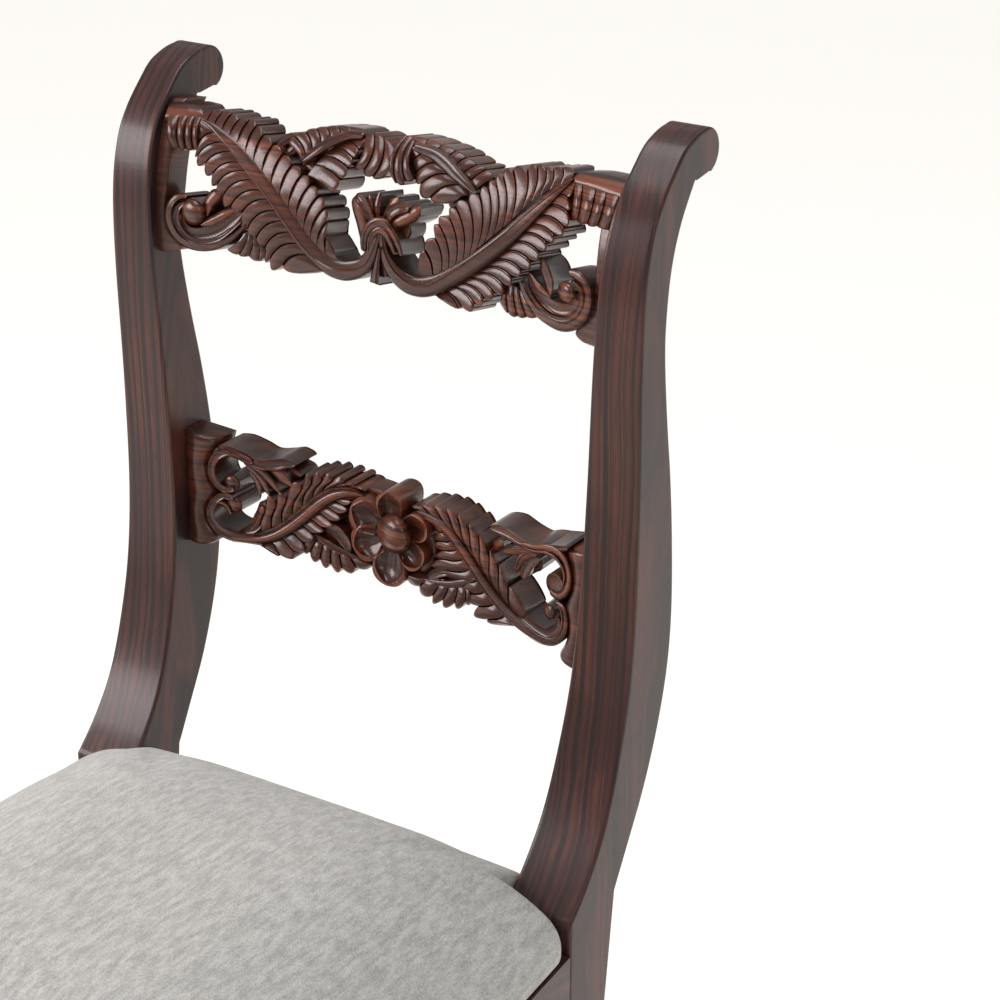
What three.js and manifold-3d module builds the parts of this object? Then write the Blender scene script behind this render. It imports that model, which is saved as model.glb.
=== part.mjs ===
// Klismos dining chair: scrolled sabre posts, two pierced and carved back rails, upholstered seat.
// Millimetres, +Z up, the chair faces -Y, origin on the floor under the middle of the chair.
import * as THREE from 'three';
import { mergeVertices } from 'three/addons/utils/BufferGeometryUtils.js';
import Module from 'manifold-3d';

const wasm = await Module();
wasm.setup();

// Overall sizes
const back_width = 400;
const front_width = 450;
const spring_height = 440;
const post_rise = 471;
const seat_depth = 400;

// Clearances and cuts
const fit_gap = 0.3;
const overrun = 2;

// Posts: one sawn board each from the scroll to the back foot
const post_width = 47.6;
const post_top_width = 28;
const post_foot_width = 34;
const post_depth = 45;
const post_edge = 1.6;
const roll_radius = 14.5;
const roll_reach = 162.5;
const back_foot_reach = 165;
const back_foot_depth = 32;

// Front legs
const front_leg_width = 42;
const front_leg_depth = 42;
const front_foot_width = 32;
const front_foot_depth = 30;
const front_foot_reach = 38;

// Seat rails
const rail_top_drop = 23;
const rail_height = 62;
const rail_thickness = 25;
const back_rail_setback = 12;
const front_rail_setback = 1.5;
const seat_tenon_thickness = 10;
const seat_tenon_length = 18;
const seat_tenon_shoulder = 10;
const seat_tenon_face = 8;

// Carved rails, each with its lower edge placed up the posts from the springing as a share of their rise
const crest_low_share = 0.7346;
const splat_low_share = 0.2909;
const crest = {
  bottom: crest_low_share * post_rise, height: 98, setback: 9, bow: 15, thickness: 20, relief: 6, tenon_shoulder: 18,
};
const splat_rail = {
  bottom: splat_low_share * post_rise, height: 83, setback: 16, bow: 24, thickness: 20, relief: 6, tenon_shoulder: 16,
};
const carved_tenon_length = 16;
const carved_tenon_thickness = 8;
const stem_width = 6.2;
const scroll_width = 3.4;
const collar_width = 11.8;
const volute_radius = 18.6;
const upper_scroll_radius = 14.1;
const lower_scroll_radius = 16.6;
const eye_radius = 4.5;
const palmette_radius = 29.4;
const arch_radius = 8.8;
const flower_radius = 37;
const flower_dome = 13.5;

// Corner blocks and their screws
const block_height = 40;
const block_reach = 45;
const screw_radius = 2;
const screw_head_radius = 4.2;
const screw_head_height = 2.8;
const screw_bite = 14;
const screw_inset = 14;
const screw_seat = 8;
const counterbore = 30;
const seat_screw_bite = 8;

// Seat
const cover_thickness = 1.5;
const turn_under = 16;
const board_thickness = 10;
const pad_edge_height = 21;
const pad_crown = 36;
const pad_bulge = 3;
const pad_corner_radius = 22;
const pad_back_overhang = 40;
const pad_tuck_radius = 7.3;
const pad_post_gap = 1.2;

// Glides
const glide_radius = 11;
const glide_thickness = 3;
const glide_pin_radius = 1.4;
const glide_pin_length = 14;

// Places that follow from the sizes
const half_back = back_width / 2;
const half_front = front_width / 2;
const rail_top = spring_height - rail_top_drop;
const rail_bottom = rail_top - rail_height;
const splay = (half_front - half_back) / seat_depth;
const foot_height = glide_thickness + fit_gap;
const front_toe = -seat_depth - front_foot_reach;
const middle_depth = (front_toe + back_foot_reach) / 2;

// Materials
const rosewood = new THREE.MeshStandardMaterial({ color: 0x3b211b, roughness: 0.35, metalness: 0 });
const carved_wood = new THREE.MeshStandardMaterial({ color: 0x4a261b, roughness: 0.3, metalness: 0 });
const rail_wood = new THREE.MeshStandardMaterial({ color: 0x422820, roughness: 0.45, metalness: 0 });
const block_wood = new THREE.MeshStandardMaterial({ color: 0x9a7448, roughness: 0.7, metalness: 0 });
const plywood = new THREE.MeshStandardMaterial({ color: 0xc6a06a, roughness: 0.75, metalness: 0 });
const foam = new THREE.MeshStandardMaterial({ color: 0xe9dcae, roughness: 0.95, metalness: 0 });
const fabric = new THREE.MeshStandardMaterial({ color: 0xb5b2ab, roughness: 0.95, metalness: 0 });
const lining = new THREE.MeshStandardMaterial({ color: 0x1d1d1f, roughness: 0.95, metalness: 0 });
const steel = new THREE.MeshStandardMaterial({ color: 0x9a9a98, roughness: 0.35, metalness: 1 });
const nylon = new THREE.MeshStandardMaterial({ color: 0x26221f, roughness: 0.6, metalness: 0 });

const chair = new THREE.Group();
chair.name = 'klismos_chair';
chair.position.y = -middle_depth;

// Booleans and closed bodies

function solid(geometry) {
  const bare = geometry.clone();
  bare.deleteAttribute('normal');
  bare.deleteAttribute('uv');
  const merged = mergeVertices(bare, 1e-4);
  const index = merged.index.array;
  const kept = [];
  for (let i = 0; i < index.length; i += 3) {
    const [a, b, c] = [index[i], index[i + 1], index[i + 2]];
    if (a !== b && b !== c && c !== a) kept.push(a, b, c);
  }
  const vertProperties = new Float32Array(merged.attributes.position.array);
  const closed = (triangles) => new wasm.Manifold(
    new wasm.Mesh({ numProp: 3, vertProperties, triVerts: new Uint32Array(triangles) }),
  );
  const body = closed(kept);
  return body.volume() > 0 ? body : closed(kept.reverse());
}

function geometry_of(body) {
  const mesh = body.getMesh();
  const geometry = new THREE.BufferGeometry();
  geometry.setAttribute('position', new THREE.BufferAttribute(new Float32Array(mesh.vertProperties), 3));
  geometry.setIndex(new THREE.BufferAttribute(new Uint32Array(mesh.triVerts), 1));
  return geometry;
}

function add(name, body, material) {
  const geometry = geometry_of(body);
  geometry.computeVertexNormals();
  const mesh = new THREE.Mesh(geometry, material);
  mesh.name = name;
  chair.add(mesh);
}

function moved(geometry, place) {
  const position = geometry.attributes.position;
  for (let i = 0; i < position.count; i += 1) {
    const [x, y, z] = place(position.getX(i), position.getY(i), position.getZ(i));
    position.setXYZ(i, x, y, z);
  }
  return geometry;
}

function mirrored(body) {
  return solid(moved(geometry_of(body), (x, y, z) => [-x, y, z]));
}

function prism(outline, low, high) {
  const shape = new THREE.Shape(outline.map(([x, y]) => new THREE.Vector2(x, y)));
  const geometry = new THREE.ExtrudeGeometry(shape, { depth: high - low, bevelEnabled: false });
  geometry.translate(0, 0, low);
  return solid(geometry);
}

function sidewise(side, body) {
  return side > 0 ? body : mirrored(body);
}

const sides = [['left', -1], ['right', 1]];

// Curves given as shares of a size

function curve_through(shares, place, count) {
  const points = shares.map((share) => new THREE.Vector2(...place(...share)));
  return new THREE.SplineCurve(points).getPoints(count);
}

function depth_on(points, height) {
  for (let i = 1; i < points.length; i += 1) {
    const [low, high] = [points[i - 1], points[i]].sort((a, b) => a.y - b.y);
    if (height >= low.y && height <= high.y && high.y > low.y) {
      return low.x + (high.x - low.x) * (height - low.y) / (high.y - low.y);
    }
  }
  return height < points[0].y ? points[0].x : points[points.length - 1].x;
}

// Posts: side outline as depth and height shares of the rise above the springing

const post_front_shares = [
  [0, 0], [0.042, 0.042], [0.083, 0.1], [0.115, 0.18], [0.14, 0.275], [0.153, 0.39], [0.156, 0.55],
  [0.154, 0.72], [0.159, 0.825], [0.175, 0.892], [0.2, 0.934], [0.243, 0.977],
];
const post_back_shares = [
  [0.282, 0.938], [0.25, 0.892], [0.229, 0.84], [0.219, 0.775], [0.219, 0.72], [0.229, 0.636],
  [0.242, 0.552], [0.251, 0.467], [0.256, 0.37], [0.252, 0.297], [0.239, 0.234], [0.217, 0.17],
  [0.187, 0.106], [0.148, 0.042], [0.117, -0.008],
];
const leg_back_shares = [[0, 0], [0.05, 0.16], [0.19, 0.38], [0.42, 0.62], [0.7, 0.82], [1, 1]];
const leg_front_shares = [[1, 1], [0.68, 0.8], [0.38, 0.58], [0.17, 0.37], [0.04, 0.17], [0, 0]];

const post_front = curve_through(
  post_front_shares, (depth, rise) => [depth * post_rise, spring_height + rise * post_rise], 24,
);

function post_outline() {
  const roll = new THREE.Vector2(roll_reach - roll_radius, spring_height + post_rise - roll_radius);
  const outline = [...post_front];
  const [roll_start, roll_end, roll_steps] = [105, -130, 11];
  for (let step = 0; step <= roll_steps; step += 1) {
    const turn = THREE.MathUtils.degToRad(roll_start + (roll_end - roll_start) * step / roll_steps);
    outline.push(new THREE.Vector2(
      roll.x + roll_radius * Math.cos(turn), roll.y + roll_radius * Math.sin(turn),
    ));
  }
  outline.push(...curve_through(
    post_back_shares, (depth, rise) => [depth * post_rise, spring_height + rise * post_rise], 24,
  ));
  const leg_top = rail_bottom - post_edge;
  const leg_height = leg_top - foot_height;
  outline.push(...curve_through(leg_back_shares, (out, down) => [
    post_depth + out * (back_foot_reach - post_depth), leg_top - down * leg_height,
  ], 12));
  outline.push(...curve_through(leg_front_shares, (out, down) => [
    out * (back_foot_reach - back_foot_depth), leg_top - down * leg_height,
  ], 12));
  return outline;
}

function post_width_at(height) {
  if (height > spring_height) {
    const share = (height - spring_height) / post_rise;
    return post_width + (post_top_width - post_width) * share;
  }
  const share = Math.max(0, (rail_bottom - height) / (rail_bottom - foot_height));
  return post_width + (post_foot_width - post_width) * share;
}

const post_inner = (height) => half_back - post_width_at(height);

// A sawn board: its side outline lies in depth and height, its width runs inwards from the outer face.
function sawn_board(outline, widest, width_at, outer_at, edge) {
  const shape = new THREE.Shape(outline);
  const geometry = new THREE.ExtrudeGeometry(shape, {
    depth: widest - 2 * edge, bevelThickness: edge, bevelSize: edge, bevelOffset: -edge, bevelSegments: 1,
  });
  return solid(moved(geometry, (depth, height, across) => {
    const inward = across + edge;
    const narrowed = inward > widest / 2 ? inward - widest + width_at(height) : inward;
    return [outer_at(depth) - narrowed, depth, height];
  }));
}

// Front legs follow the splay of the seat's side

const side_line = (depth) => half_back - splay * depth;
const front_leg_back = -seat_depth + front_leg_depth;
const shin_front_shares = [[0, 0], [-0.16, 0.2], [-0.2, 0.42], [0, 0.64], [0.38, 0.83], [1, 1]];
const shin_back_shares = [[1, 1], [0.4, 0.81], [0.08, 0.62], [-0.08, 0.42], [-0.08, 0.2], [0, 0]];

function front_leg_outline() {
  const shin = rail_bottom - foot_height;
  const front = curve_through(shin_front_shares, (out, down) => [
    -seat_depth - out * front_foot_reach, rail_bottom - down * shin,
  ], 12);
  const heel_travel = front_leg_depth + front_foot_reach - front_foot_depth;
  const back = curve_through(shin_back_shares, (out, down) => [
    front_leg_back - out * heel_travel, rail_bottom - down * shin,
  ], 12);
  const top = [new THREE.Vector2(front_leg_back, rail_top), new THREE.Vector2(-seat_depth, rail_top)];
  return [...front, ...back, ...top].reverse();
}

function front_leg_width_at(height) {
  const share = Math.max(0, (rail_bottom - height) / (rail_bottom - foot_height));
  return front_leg_width + (front_foot_width - front_leg_width) * share;
}

// Seat rails and their tenons, all for the right side of the chair

const tenon_low = rail_bottom + seat_tenon_shoulder;
const tenon_high = rail_top - seat_tenon_shoulder;

function side_strip(inset_outer, inset_inner, back_end, front_end, low, high) {
  return prism([
    [side_line(back_end) - inset_inner, back_end], [side_line(front_end) - inset_inner, front_end],
    [side_line(front_end) - inset_outer, front_end], [side_line(back_end) - inset_outer, back_end],
  ], low, high);
}

function side_rail() {
  const back_end = -fit_gap;
  const front_end = front_leg_back + fit_gap;
  const rail = side_strip(0, rail_thickness, back_end, front_end, rail_bottom, rail_top);
  const tenon_back = back_end + seat_tenon_length;
  const tenon_front = front_end - seat_tenon_length;
  return rail.add(side_strip(
    seat_tenon_face, seat_tenon_face + seat_tenon_thickness, tenon_back, tenon_front, tenon_low, tenon_high,
  ));
}

function side_mortises(start, finish) {
  return side_strip(
    seat_tenon_face - fit_gap, seat_tenon_face + seat_tenon_thickness + fit_gap, start, finish,
    tenon_low - fit_gap, tenon_high + fit_gap,
  );
}

const front_rail_front = -seat_depth + front_rail_setback;
const front_rail_back = front_rail_front + rail_thickness;
const front_leg_inner = (depth) => side_line(depth) - front_leg_width;
const tenon_inset = (rail_thickness - seat_tenon_thickness) / 2;

function cross_rail(face, inner_at) {
  const [near, far] = [face, face + rail_thickness];
  const [tenon_near, tenon_far] = [near + tenon_inset, far - tenon_inset];
  const reach = (depth) => inner_at(depth) - fit_gap;
  const rail = prism([
    [-reach(near), near], [reach(near), near], [reach(far), far], [-reach(far), far],
  ], rail_bottom, rail_top);
  const tenon = (depth) => reach(depth) + seat_tenon_length;
  return rail.add(prism([
    [-tenon(tenon_near), tenon_near], [tenon(tenon_near), tenon_near],
    [tenon(tenon_far), tenon_far], [-tenon(tenon_far), tenon_far],
  ], tenon_low, tenon_high));
}

function cross_mortise(face, inner_at) {
  const near = face + tenon_inset - fit_gap;
  const far = face + rail_thickness - tenon_inset + fit_gap;
  const deep = (depth) => inner_at(depth) + seat_tenon_length + fit_gap;
  return prism([
    [inner_at(near) - overrun, near], [deep(near), near], [deep(far), far], [inner_at(far) - overrun, far],
  ], tenon_low - fit_gap, tenon_high + fit_gap);
}

const post_block_inner = () => post_inner(spring_height);

// Carved rails: the carving is laid out flat, as a run from the middle and a height, with a rise off the face.
// A place is given in shares of the half span and of the rail's height, and is bent to the chair last.

const carved_span = (height) => post_inner(spring_height + height) - fit_gap;

function lay(rail, [run_share, height_share]) {
  const height = rail.bottom + height_share * rail.height;
  return new THREE.Vector2(run_share * carved_span(height), height);
}

function bend(rail, run, height, rise) {
  const span = carved_span(height);
  const bowed = rail.bow * Math.max(0, 1 - (run / span) ** 2);
  const face = depth_on(post_front, spring_height + height) + rail.setback;
  return [run, face + bowed - rise, spring_height + height];
}

// A closed body over a grid: the front follows front(i, j), the walls run straight back to the board's back.
function relief_body(columns, rows, front, back_rise) {
  const points = [];
  for (const raised of [true, false]) {
    for (let i = 0; i <= columns; i += 1) {
      for (let j = 0; j <= rows; j += 1) {
        const [run, height, rise] = front(i / columns, j / rows, i, j);
        points.push(run, height, raised ? rise : back_rise);
      }
    }
  }
  const at = (layer, i, j) => layer * (columns + 1) * (rows + 1) + i * (rows + 1) + j;
  const faces = [];
  const quad = (a, b, c, d) => faces.push(a, b, c, a, c, d);
  for (let i = 0; i < columns; i += 1) {
    for (let j = 0; j < rows; j += 1) {
      quad(at(0, i, j), at(0, i + 1, j), at(0, i + 1, j + 1), at(0, i, j + 1));
      quad(at(1, i, j), at(1, i, j + 1), at(1, i + 1, j + 1), at(1, i + 1, j));
    }
    quad(at(1, i, 0), at(1, i + 1, 0), at(0, i + 1, 0), at(0, i, 0));
    quad(at(0, i, rows), at(0, i + 1, rows), at(1, i + 1, rows), at(1, i, rows));
  }
  for (let j = 0; j < rows; j += 1) {
    quad(at(0, 0, j), at(0, 0, j + 1), at(1, 0, j + 1), at(1, 0, j));
    quad(at(1, columns, j), at(1, columns, j + 1), at(0, columns, j + 1), at(0, columns, j));
  }
  const geometry = new THREE.BufferGeometry();
  geometry.setAttribute('position', new THREE.BufferAttribute(new Float32Array(points), 3));
  geometry.setIndex(faces);
  return solid(geometry);
}

const near_share = 0.01;

function frame_along(points, share) {
  const spline = new THREE.SplineCurve(points);
  const here = spline.getPoint(share);
  const ahead = spline.getPoint(Math.min(1, share + near_share));
  const behind = spline.getPoint(Math.max(0, share - near_share));
  const along = ahead.sub(behind).normalize();
  return { here, along, across: new THREE.Vector2(-along.y, along.x) };
}

// A leaf: lobes step along both sides of a midrib and lean towards its tip, with a notch between each two.
// Its widths are shares of the rail's height, its lean and rise shares of the width and of the relief.
const notch_share = 0.24;
const lobe_ridge_share = 0.7;
const leaf_fall_share = 0.6;
const leaf_end_share = 0.14;

function leaf(rail, { midrib_shares, lobes, left_share, right_share, lean_share, rise_share }) {
  const points = midrib_shares.map((share) => lay(rail, share));
  const steps = 2;
  const columns = lobes * steps;
  return relief_body(columns, 4, (along_share, across_share, i) => {
    const { here, along, across } = frame_along(points, along_share);
    const lobe_share = (i % steps) / steps;
    const side = across_share * 2 - 1;
    const wide = (side > 0 ? left_share : right_share) * rail.height;
    const oval_share = Math.sin(Math.PI * (leaf_end_share + along_share * (1 - 1.3 * leaf_end_share))) ** 0.7;
    const swell_share = leaf_end_share + (1 - leaf_end_share) * oval_share;
    const reach = Math.abs(side) * wide * swell_share * (lobe_share > 0 ? 1 : 1 - notch_share);
    const forward = lean_share * reach * Math.abs(side);
    const ridge_share = lobe_ridge_share * lobe_share * Math.abs(side);
    return [
      here.x + across.x * Math.sign(side) * reach + along.x * forward,
      here.y + across.y * Math.sign(side) * reach + along.y * forward,
      rail.relief * (rise_share + ridge_share - leaf_fall_share * side * side),
    ];
  }, -rail.thickness);
}

// A band: a rounded stem of changing width that follows a path.
const band_fall_share = 0.5;

function band(rail, points, width_at, rise_share, columns) {
  return relief_body(columns, 2, (along_share, across_share) => {
    const { here, across } = frame_along(points, along_share);
    const side = across_share * 2 - 1;
    const reach = side * width_at(along_share);
    const lift = rail.relief * (rise_share - band_fall_share * side * side);
    return [here.x + across.x * reach, here.y + across.y * reach, lift];
  }, -rail.thickness);
}

function spiral(centre, start, finish, first_angle, turns, count) {
  const points = [];
  for (let i = 0; i <= count; i += 1) {
    const share = i / count;
    const angle = first_angle + share * turns * 2 * Math.PI;
    const radius = start + (finish - start) * share;
    points.push(new THREE.Vector2(centre.x + radius * Math.cos(angle), centre.y + radius * Math.sin(angle)));
  }
  return points;
}

function end_board(rail, inner_share) {
  const [run_corner_share, height_corner_share, face_share] = [0.02, 0.06, 0.1];
  const outline_shares = [
    [1, 0], [inner_share + run_corner_share, 0], [inner_share, height_corner_share],
    [inner_share, 1 - height_corner_share], [inner_share + run_corner_share, 1], [1, 1],
  ];
  const outline = outline_shares.map((share) => lay(rail, share)).map((corner) => [corner.x, corner.y]);
  return prism(outline, -rail.thickness, rail.relief * face_share);
}

// The crest rail, right half: fern, stem to the tie, rolled leaf, collar, volute and leaflets
function crest_half() {
  const fern_shares = [[0.16, 0.09], [0.29, 0.17], [0.42, 0.36], [0.56, 0.59], [0.7, 0.78], [0.86, 0.92]];
  const stem_shares = [[0, 0.42], [0.03, 0.29], [0.09, 0.14], [0.17, 0.075], [0.26, 0.13], [0.37, 0.27]];
  const roll_shares = [[0.48, 0.74], [0.36, 0.84], [0.24, 0.93], [0.12, 0.96], [0.06, 0.88], [0.1, 0.8]];
  const bud_shares = [[0.78, 0.27], [0.76, 0.36], [0.73, 0.5]];
  const skirt_shares = [[0.5, 0.12], [0.6, 0.07], [0.74, 0.08]];
  const collar_shares = [[0.84, 0.86], [0.92, 0.86], [0.99, 0.86]];
  const shoulder_shares = [[0.44, 0.78], [0.3, 0.9], [0.14, 0.93], [0, 0.9]];
  const volute_stem_shares = [[0.55, 0.22], [0.66, 0.17], [0.76, 0.12]];
  const volute_centre_share = [0.85, 0.31];
  const volute = [
    ...volute_stem_shares.map((share) => lay(crest, share)),
    ...spiral(lay(crest, volute_centre_share), volute_radius, eye_radius, -0.42 * Math.PI, 1.3, 18),
  ];
  const stem = stem_shares.map((share) => lay(crest, share));
  const shoulder = shoulder_shares.map((share) => lay(crest, share));
  const collar = collar_shares.map((share) => lay(crest, share));
  const collar_inner_share = 0.95;
  return [
    leaf(crest, {
      midrib_shares: fern_shares, lobes: 11,
      left_share: 0.26, right_share: 0.25, lean_share: 0.35, rise_share: 0.75,
    }),
    leaf(crest, {
      midrib_shares: roll_shares, lobes: 5,
      left_share: 0.16, right_share: 0.11, lean_share: 0.2, rise_share: 1,
    }),
    leaf(crest, {
      midrib_shares: bud_shares, lobes: 1,
      left_share: 0.05, right_share: 0.05, lean_share: 0, rise_share: 0.8,
    }),
    leaf(crest, {
      midrib_shares: skirt_shares, lobes: 3,
      left_share: 0.08, right_share: 0.09, lean_share: 0.3, rise_share: 0.5,
    }),
    band(crest, stem, () => stem_width, 1, 14),
    band(crest, shoulder, () => stem_width, 0.5, 10),
    band(crest, collar, () => collar_width, 0.9, 6),
    band(crest, volute, () => scroll_width, 1, 20),
    end_board(crest, collar_inner_share),
  ];
}

// The middle of the crest rail: an arched tie over a fan tail, and a palmette of five petals
function crest_middle() {
  const parts = [];
  const foot_share = [0, 0.42];
  const arch_centre_share = [0, 0.34];
  const tail_shares = [[0, 0.36], [0, 0.2], [0, 0.06]];
  const petal_width = (share) => stem_width * (0.5 + 0.6 * share);
  const foot = lay(crest, foot_share);
  for (const degrees of [18, 54, 90, 126, 162]) {
    const angle = THREE.MathUtils.degToRad(degrees);
    const out = new THREE.Vector2(Math.cos(angle), Math.sin(angle)).multiplyScalar(palmette_radius);
    const tip = foot.clone().add(out);
    parts.push(band(crest, [foot, foot.clone().lerp(tip, 0.5), tip], petal_width, 0.9, 4));
  }
  parts.push(band(crest, tail_shares.map((share) => lay(crest, share)), petal_width, 1.1, 4));
  const arch = spiral(lay(crest, arch_centre_share), arch_radius, arch_radius, -0.1 * Math.PI, 0.6, 8);
  parts.push(band(crest, arch, () => stem_width / 2, 1.3, 10));
  return parts;
}

// The lower rail, right half: twin volutes, wing, fern and spray
function splat_half() {
  const fern_shares = [[0.78, 0.1], [0.62, 0.17], [0.48, 0.38], [0.34, 0.62], [0.16, 0.72]];
  const wing_shares = [[0.86, 0.86], [0.7, 0.9], [0.56, 0.8], [0.44, 0.88]];
  const spray_shares = [[0.1, 0.2], [0.28, 0.14], [0.46, 0.12]];
  const web_shares = [[0.72, 0.62], [0.58, 0.55], [0.44, 0.6]];
  const upper_stem_shares = [[0.5, 0.72], [0.6, 0.8], [0.7, 0.85]];
  const lower_stem_shares = [[0.56, 0.2], [0.66, 0.09], [0.74, 0.07]];
  const upper_centre_share = [0.79, 0.66];
  const lower_centre_share = [0.79, 0.29];
  const block_inner_share = 0.88;
  const upper = [
    ...upper_stem_shares.map((share) => lay(splat_rail, share)),
    ...spiral(lay(splat_rail, upper_centre_share), upper_scroll_radius, eye_radius, 0.5 * Math.PI, -1.25, 16),
  ];
  const lower = [
    ...lower_stem_shares.map((share) => lay(splat_rail, share)),
    ...spiral(lay(splat_rail, lower_centre_share), lower_scroll_radius, eye_radius, -0.45 * Math.PI, 1.2, 16),
  ];
  return [
    end_board(splat_rail, block_inner_share),
    band(splat_rail, upper, () => scroll_width, 1, 18),
    band(splat_rail, lower, () => scroll_width, 1, 18),
    leaf(splat_rail, {
      midrib_shares: fern_shares, lobes: 8,
      left_share: 0.23, right_share: 0.26, lean_share: 0.5, rise_share: 0.8,
    }),
    leaf(splat_rail, {
      midrib_shares: wing_shares, lobes: 3,
      left_share: 0.09, right_share: 0.09, lean_share: 0.2, rise_share: 0.6,
    }),
    leaf(splat_rail, {
      midrib_shares: spray_shares, lobes: 4,
      left_share: 0.1, right_share: 0.12, lean_share: 0.4, rise_share: 0.5,
    }),
    leaf(splat_rail, {
      midrib_shares: web_shares, lobes: 2,
      left_share: 0.1, right_share: 0.12, lean_share: 0.2, rise_share: 0.5,
    }),
  ];
}

// The flower on the lower rail: six cupped petals round a dome
function flower() {
  const parts = [];
  const petals = 6;
  const centre_share = [0, 0.46];
  const [root_share, blunt_share, width_share, tip_round_share] = [0.16, 0.6, 0.5, 0.1];
  const [face_share, cup_share, curl_share] = [0.9, 0.7, 0.5];
  const centre = lay(splat_rail, centre_share);
  for (let petal = 0; petal < petals; petal += 1) {
    const angle = Math.PI / 2 + petal * 2 * Math.PI / petals;
    const out = new THREE.Vector2(Math.cos(angle), Math.sin(angle));
    const across = new THREE.Vector2(-out.y, out.x);
    parts.push(relief_body(4, 4, (along_share, across_share) => {
      const side = across_share * 2 - 1;
      const oval = Math.sin(Math.PI * (root_share + (1 - 1.5 * root_share) * along_share)) ** blunt_share;
      const wide = flower_radius * width_share * oval;
      const rounding = 1 - tip_round_share * side * side * along_share;
      const reach = flower_radius * (root_share + (1 - root_share) * along_share) * rounding;
      const cup = face_share + cup_share * side * side + curl_share * along_share ** 2;
      return [
        centre.x + out.x * reach + across.x * wide * side,
        centre.y + out.y * reach + across.y * wide * side,
        splat_rail.relief * cup,
      ];
    }, -splat_rail.thickness));
  }
  const dome = new THREE.SphereGeometry(flower_dome, 12, 8);
  dome.translate(centre.x, centre.y, splat_rail.relief);
  parts.push(solid(dome));
  return parts;
}

function carved_tenon(rail, clearance) {
  const low_share = rail.tenon_shoulder / rail.height;
  const middle = -rail.thickness / 2;
  const half_thick = carved_tenon_thickness / 2 + clearance;
  return solid(moved(
    new THREE.BoxGeometry(1, 1, 1, 1, 8, 1),
    (across, up, out) => {
      const height = rail.bottom + rail.height * (0.5 + up * (1 - 2 * low_share)) + Math.sign(up) * clearance;
      const span = carved_span(height);
      const end = span + carved_tenon_length + clearance;
      const run = across > 0 ? end : span - rail.tenon_shoulder / 2;
      return bend(rail, run, height, middle + Math.sign(out) * half_thick);
    },
  ));
}

function carved_rail(rail, half, middle) {
  const right = wasm.Manifold.union(half);
  const flat = wasm.Manifold.union([right, mirrored(right), ...middle]);
  return solid(moved(geometry_of(flat), (run, height, rise) => bend(rail, run, height, rise)));
}

// Feet

const back_foot_place = [
  half_back - post_foot_width / 2, back_foot_reach - back_foot_depth / 2,
];
const front_foot_place = [
  side_line(front_toe) - front_foot_width / 2, front_toe + front_foot_depth / 2,
];

function glide_hole([x, y]) {
  const hole = new THREE.CylinderGeometry(
    glide_pin_radius + fit_gap, glide_pin_radius + fit_gap, glide_pin_length + overrun, 8,
  );
  hole.rotateX(Math.PI / 2);
  const middle = (foot_height + glide_pin_length + fit_gap - overrun + foot_height) / 2;
  hole.translate(x, y, middle);
  return solid(hole);
}

function glide([x, y]) {
  const [flat_share, edge_share] = [0.9, 0.4];
  const profile = [
    [0, 0], [glide_radius * flat_share, 0], [glide_radius, glide_thickness * edge_share],
    [glide_radius, glide_thickness],
    [glide_pin_radius, glide_thickness], [glide_pin_radius, glide_thickness + glide_pin_length - overrun],
    [0, glide_thickness + glide_pin_length],
  ].map(([radius, height]) => new THREE.Vector2(radius, height));
  const geometry = new THREE.LatheGeometry(profile, 16);
  geometry.rotateX(Math.PI / 2);
  geometry.translate(x, y, 0);
  return solid(geometry);
}

function build_frame() {
  const crest_tenon = carved_tenon(crest, 0);
  const splat_tenon = carved_tenon(splat_rail, 0);
  const post = sawn_board(post_outline(), post_width, post_width_at, () => half_back, post_edge)
    .subtract(side_mortises(seat_tenon_length + fit_gap, -overrun))
    .subtract(cross_mortise(back_rail_setback, post_block_inner))
    .subtract(carved_tenon(crest, fit_gap))
    .subtract(carved_tenon(splat_rail, fit_gap))
    .subtract(glide_hole(back_foot_place));
  const leg = sawn_board(front_leg_outline(), front_leg_width, front_leg_width_at, side_line, post_edge)
    .subtract(side_mortises(front_leg_back + overrun, front_leg_back - seat_tenon_length - fit_gap))
    .subtract(cross_mortise(front_rail_front, front_leg_inner))
    .subtract(glide_hole(front_foot_place));
  for (const [name, side] of sides) {
    add(`post_${name}`, sidewise(side, post), rosewood);
    add(`front_leg_${name}`, sidewise(side, leg), rosewood);
  }
  const crest_body = carved_rail(crest, crest_half(), crest_middle());
  const splat_body = carved_rail(splat_rail, splat_half(), flower());
  add('crest_rail', wasm.Manifold.union([crest_body, crest_tenon, mirrored(crest_tenon)]), carved_wood);
  add('lower_back_rail', wasm.Manifold.union([splat_body, splat_tenon, mirrored(splat_tenon)]), carved_wood);
}

// Screws: a countersunk head, a shank and a point, set along an axis

function along_axis(geometry, place, axis) {
  geometry.rotateX(Math.PI / 2);
  const turn = new THREE.Quaternion().setFromUnitVectors(new THREE.Vector3(0, 0, 1), axis);
  geometry.applyQuaternion(turn);
  geometry.translate(...place);
  return solid(geometry);
}

function screw(place, axis, length) {
  const profile = [
    [0, 0], [screw_head_radius, 0], [screw_radius, screw_head_height],
    [screw_radius, length - screw_head_height], [0, length],
  ].map(([radius, height]) => new THREE.Vector2(radius, height));
  return along_axis(new THREE.LatheGeometry(profile, 10), place, axis);
}

function screw_hole(place, axis, length) {
  const head = screw_head_radius + fit_gap;
  const shank = screw_radius + fit_gap;
  const profile = [
    [0, -counterbore], [head, -counterbore], [head, fit_gap], [shank, screw_head_height + fit_gap],
    [shank, length + fit_gap], [0, length + fit_gap],
  ].map(([radius, height]) => new THREE.Vector2(radius, height));
  return along_axis(new THREE.LatheGeometry(profile, 10), place, axis);
}

// Corner blocks, right side: each touches its two rails and is notched round the leg between them

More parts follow.
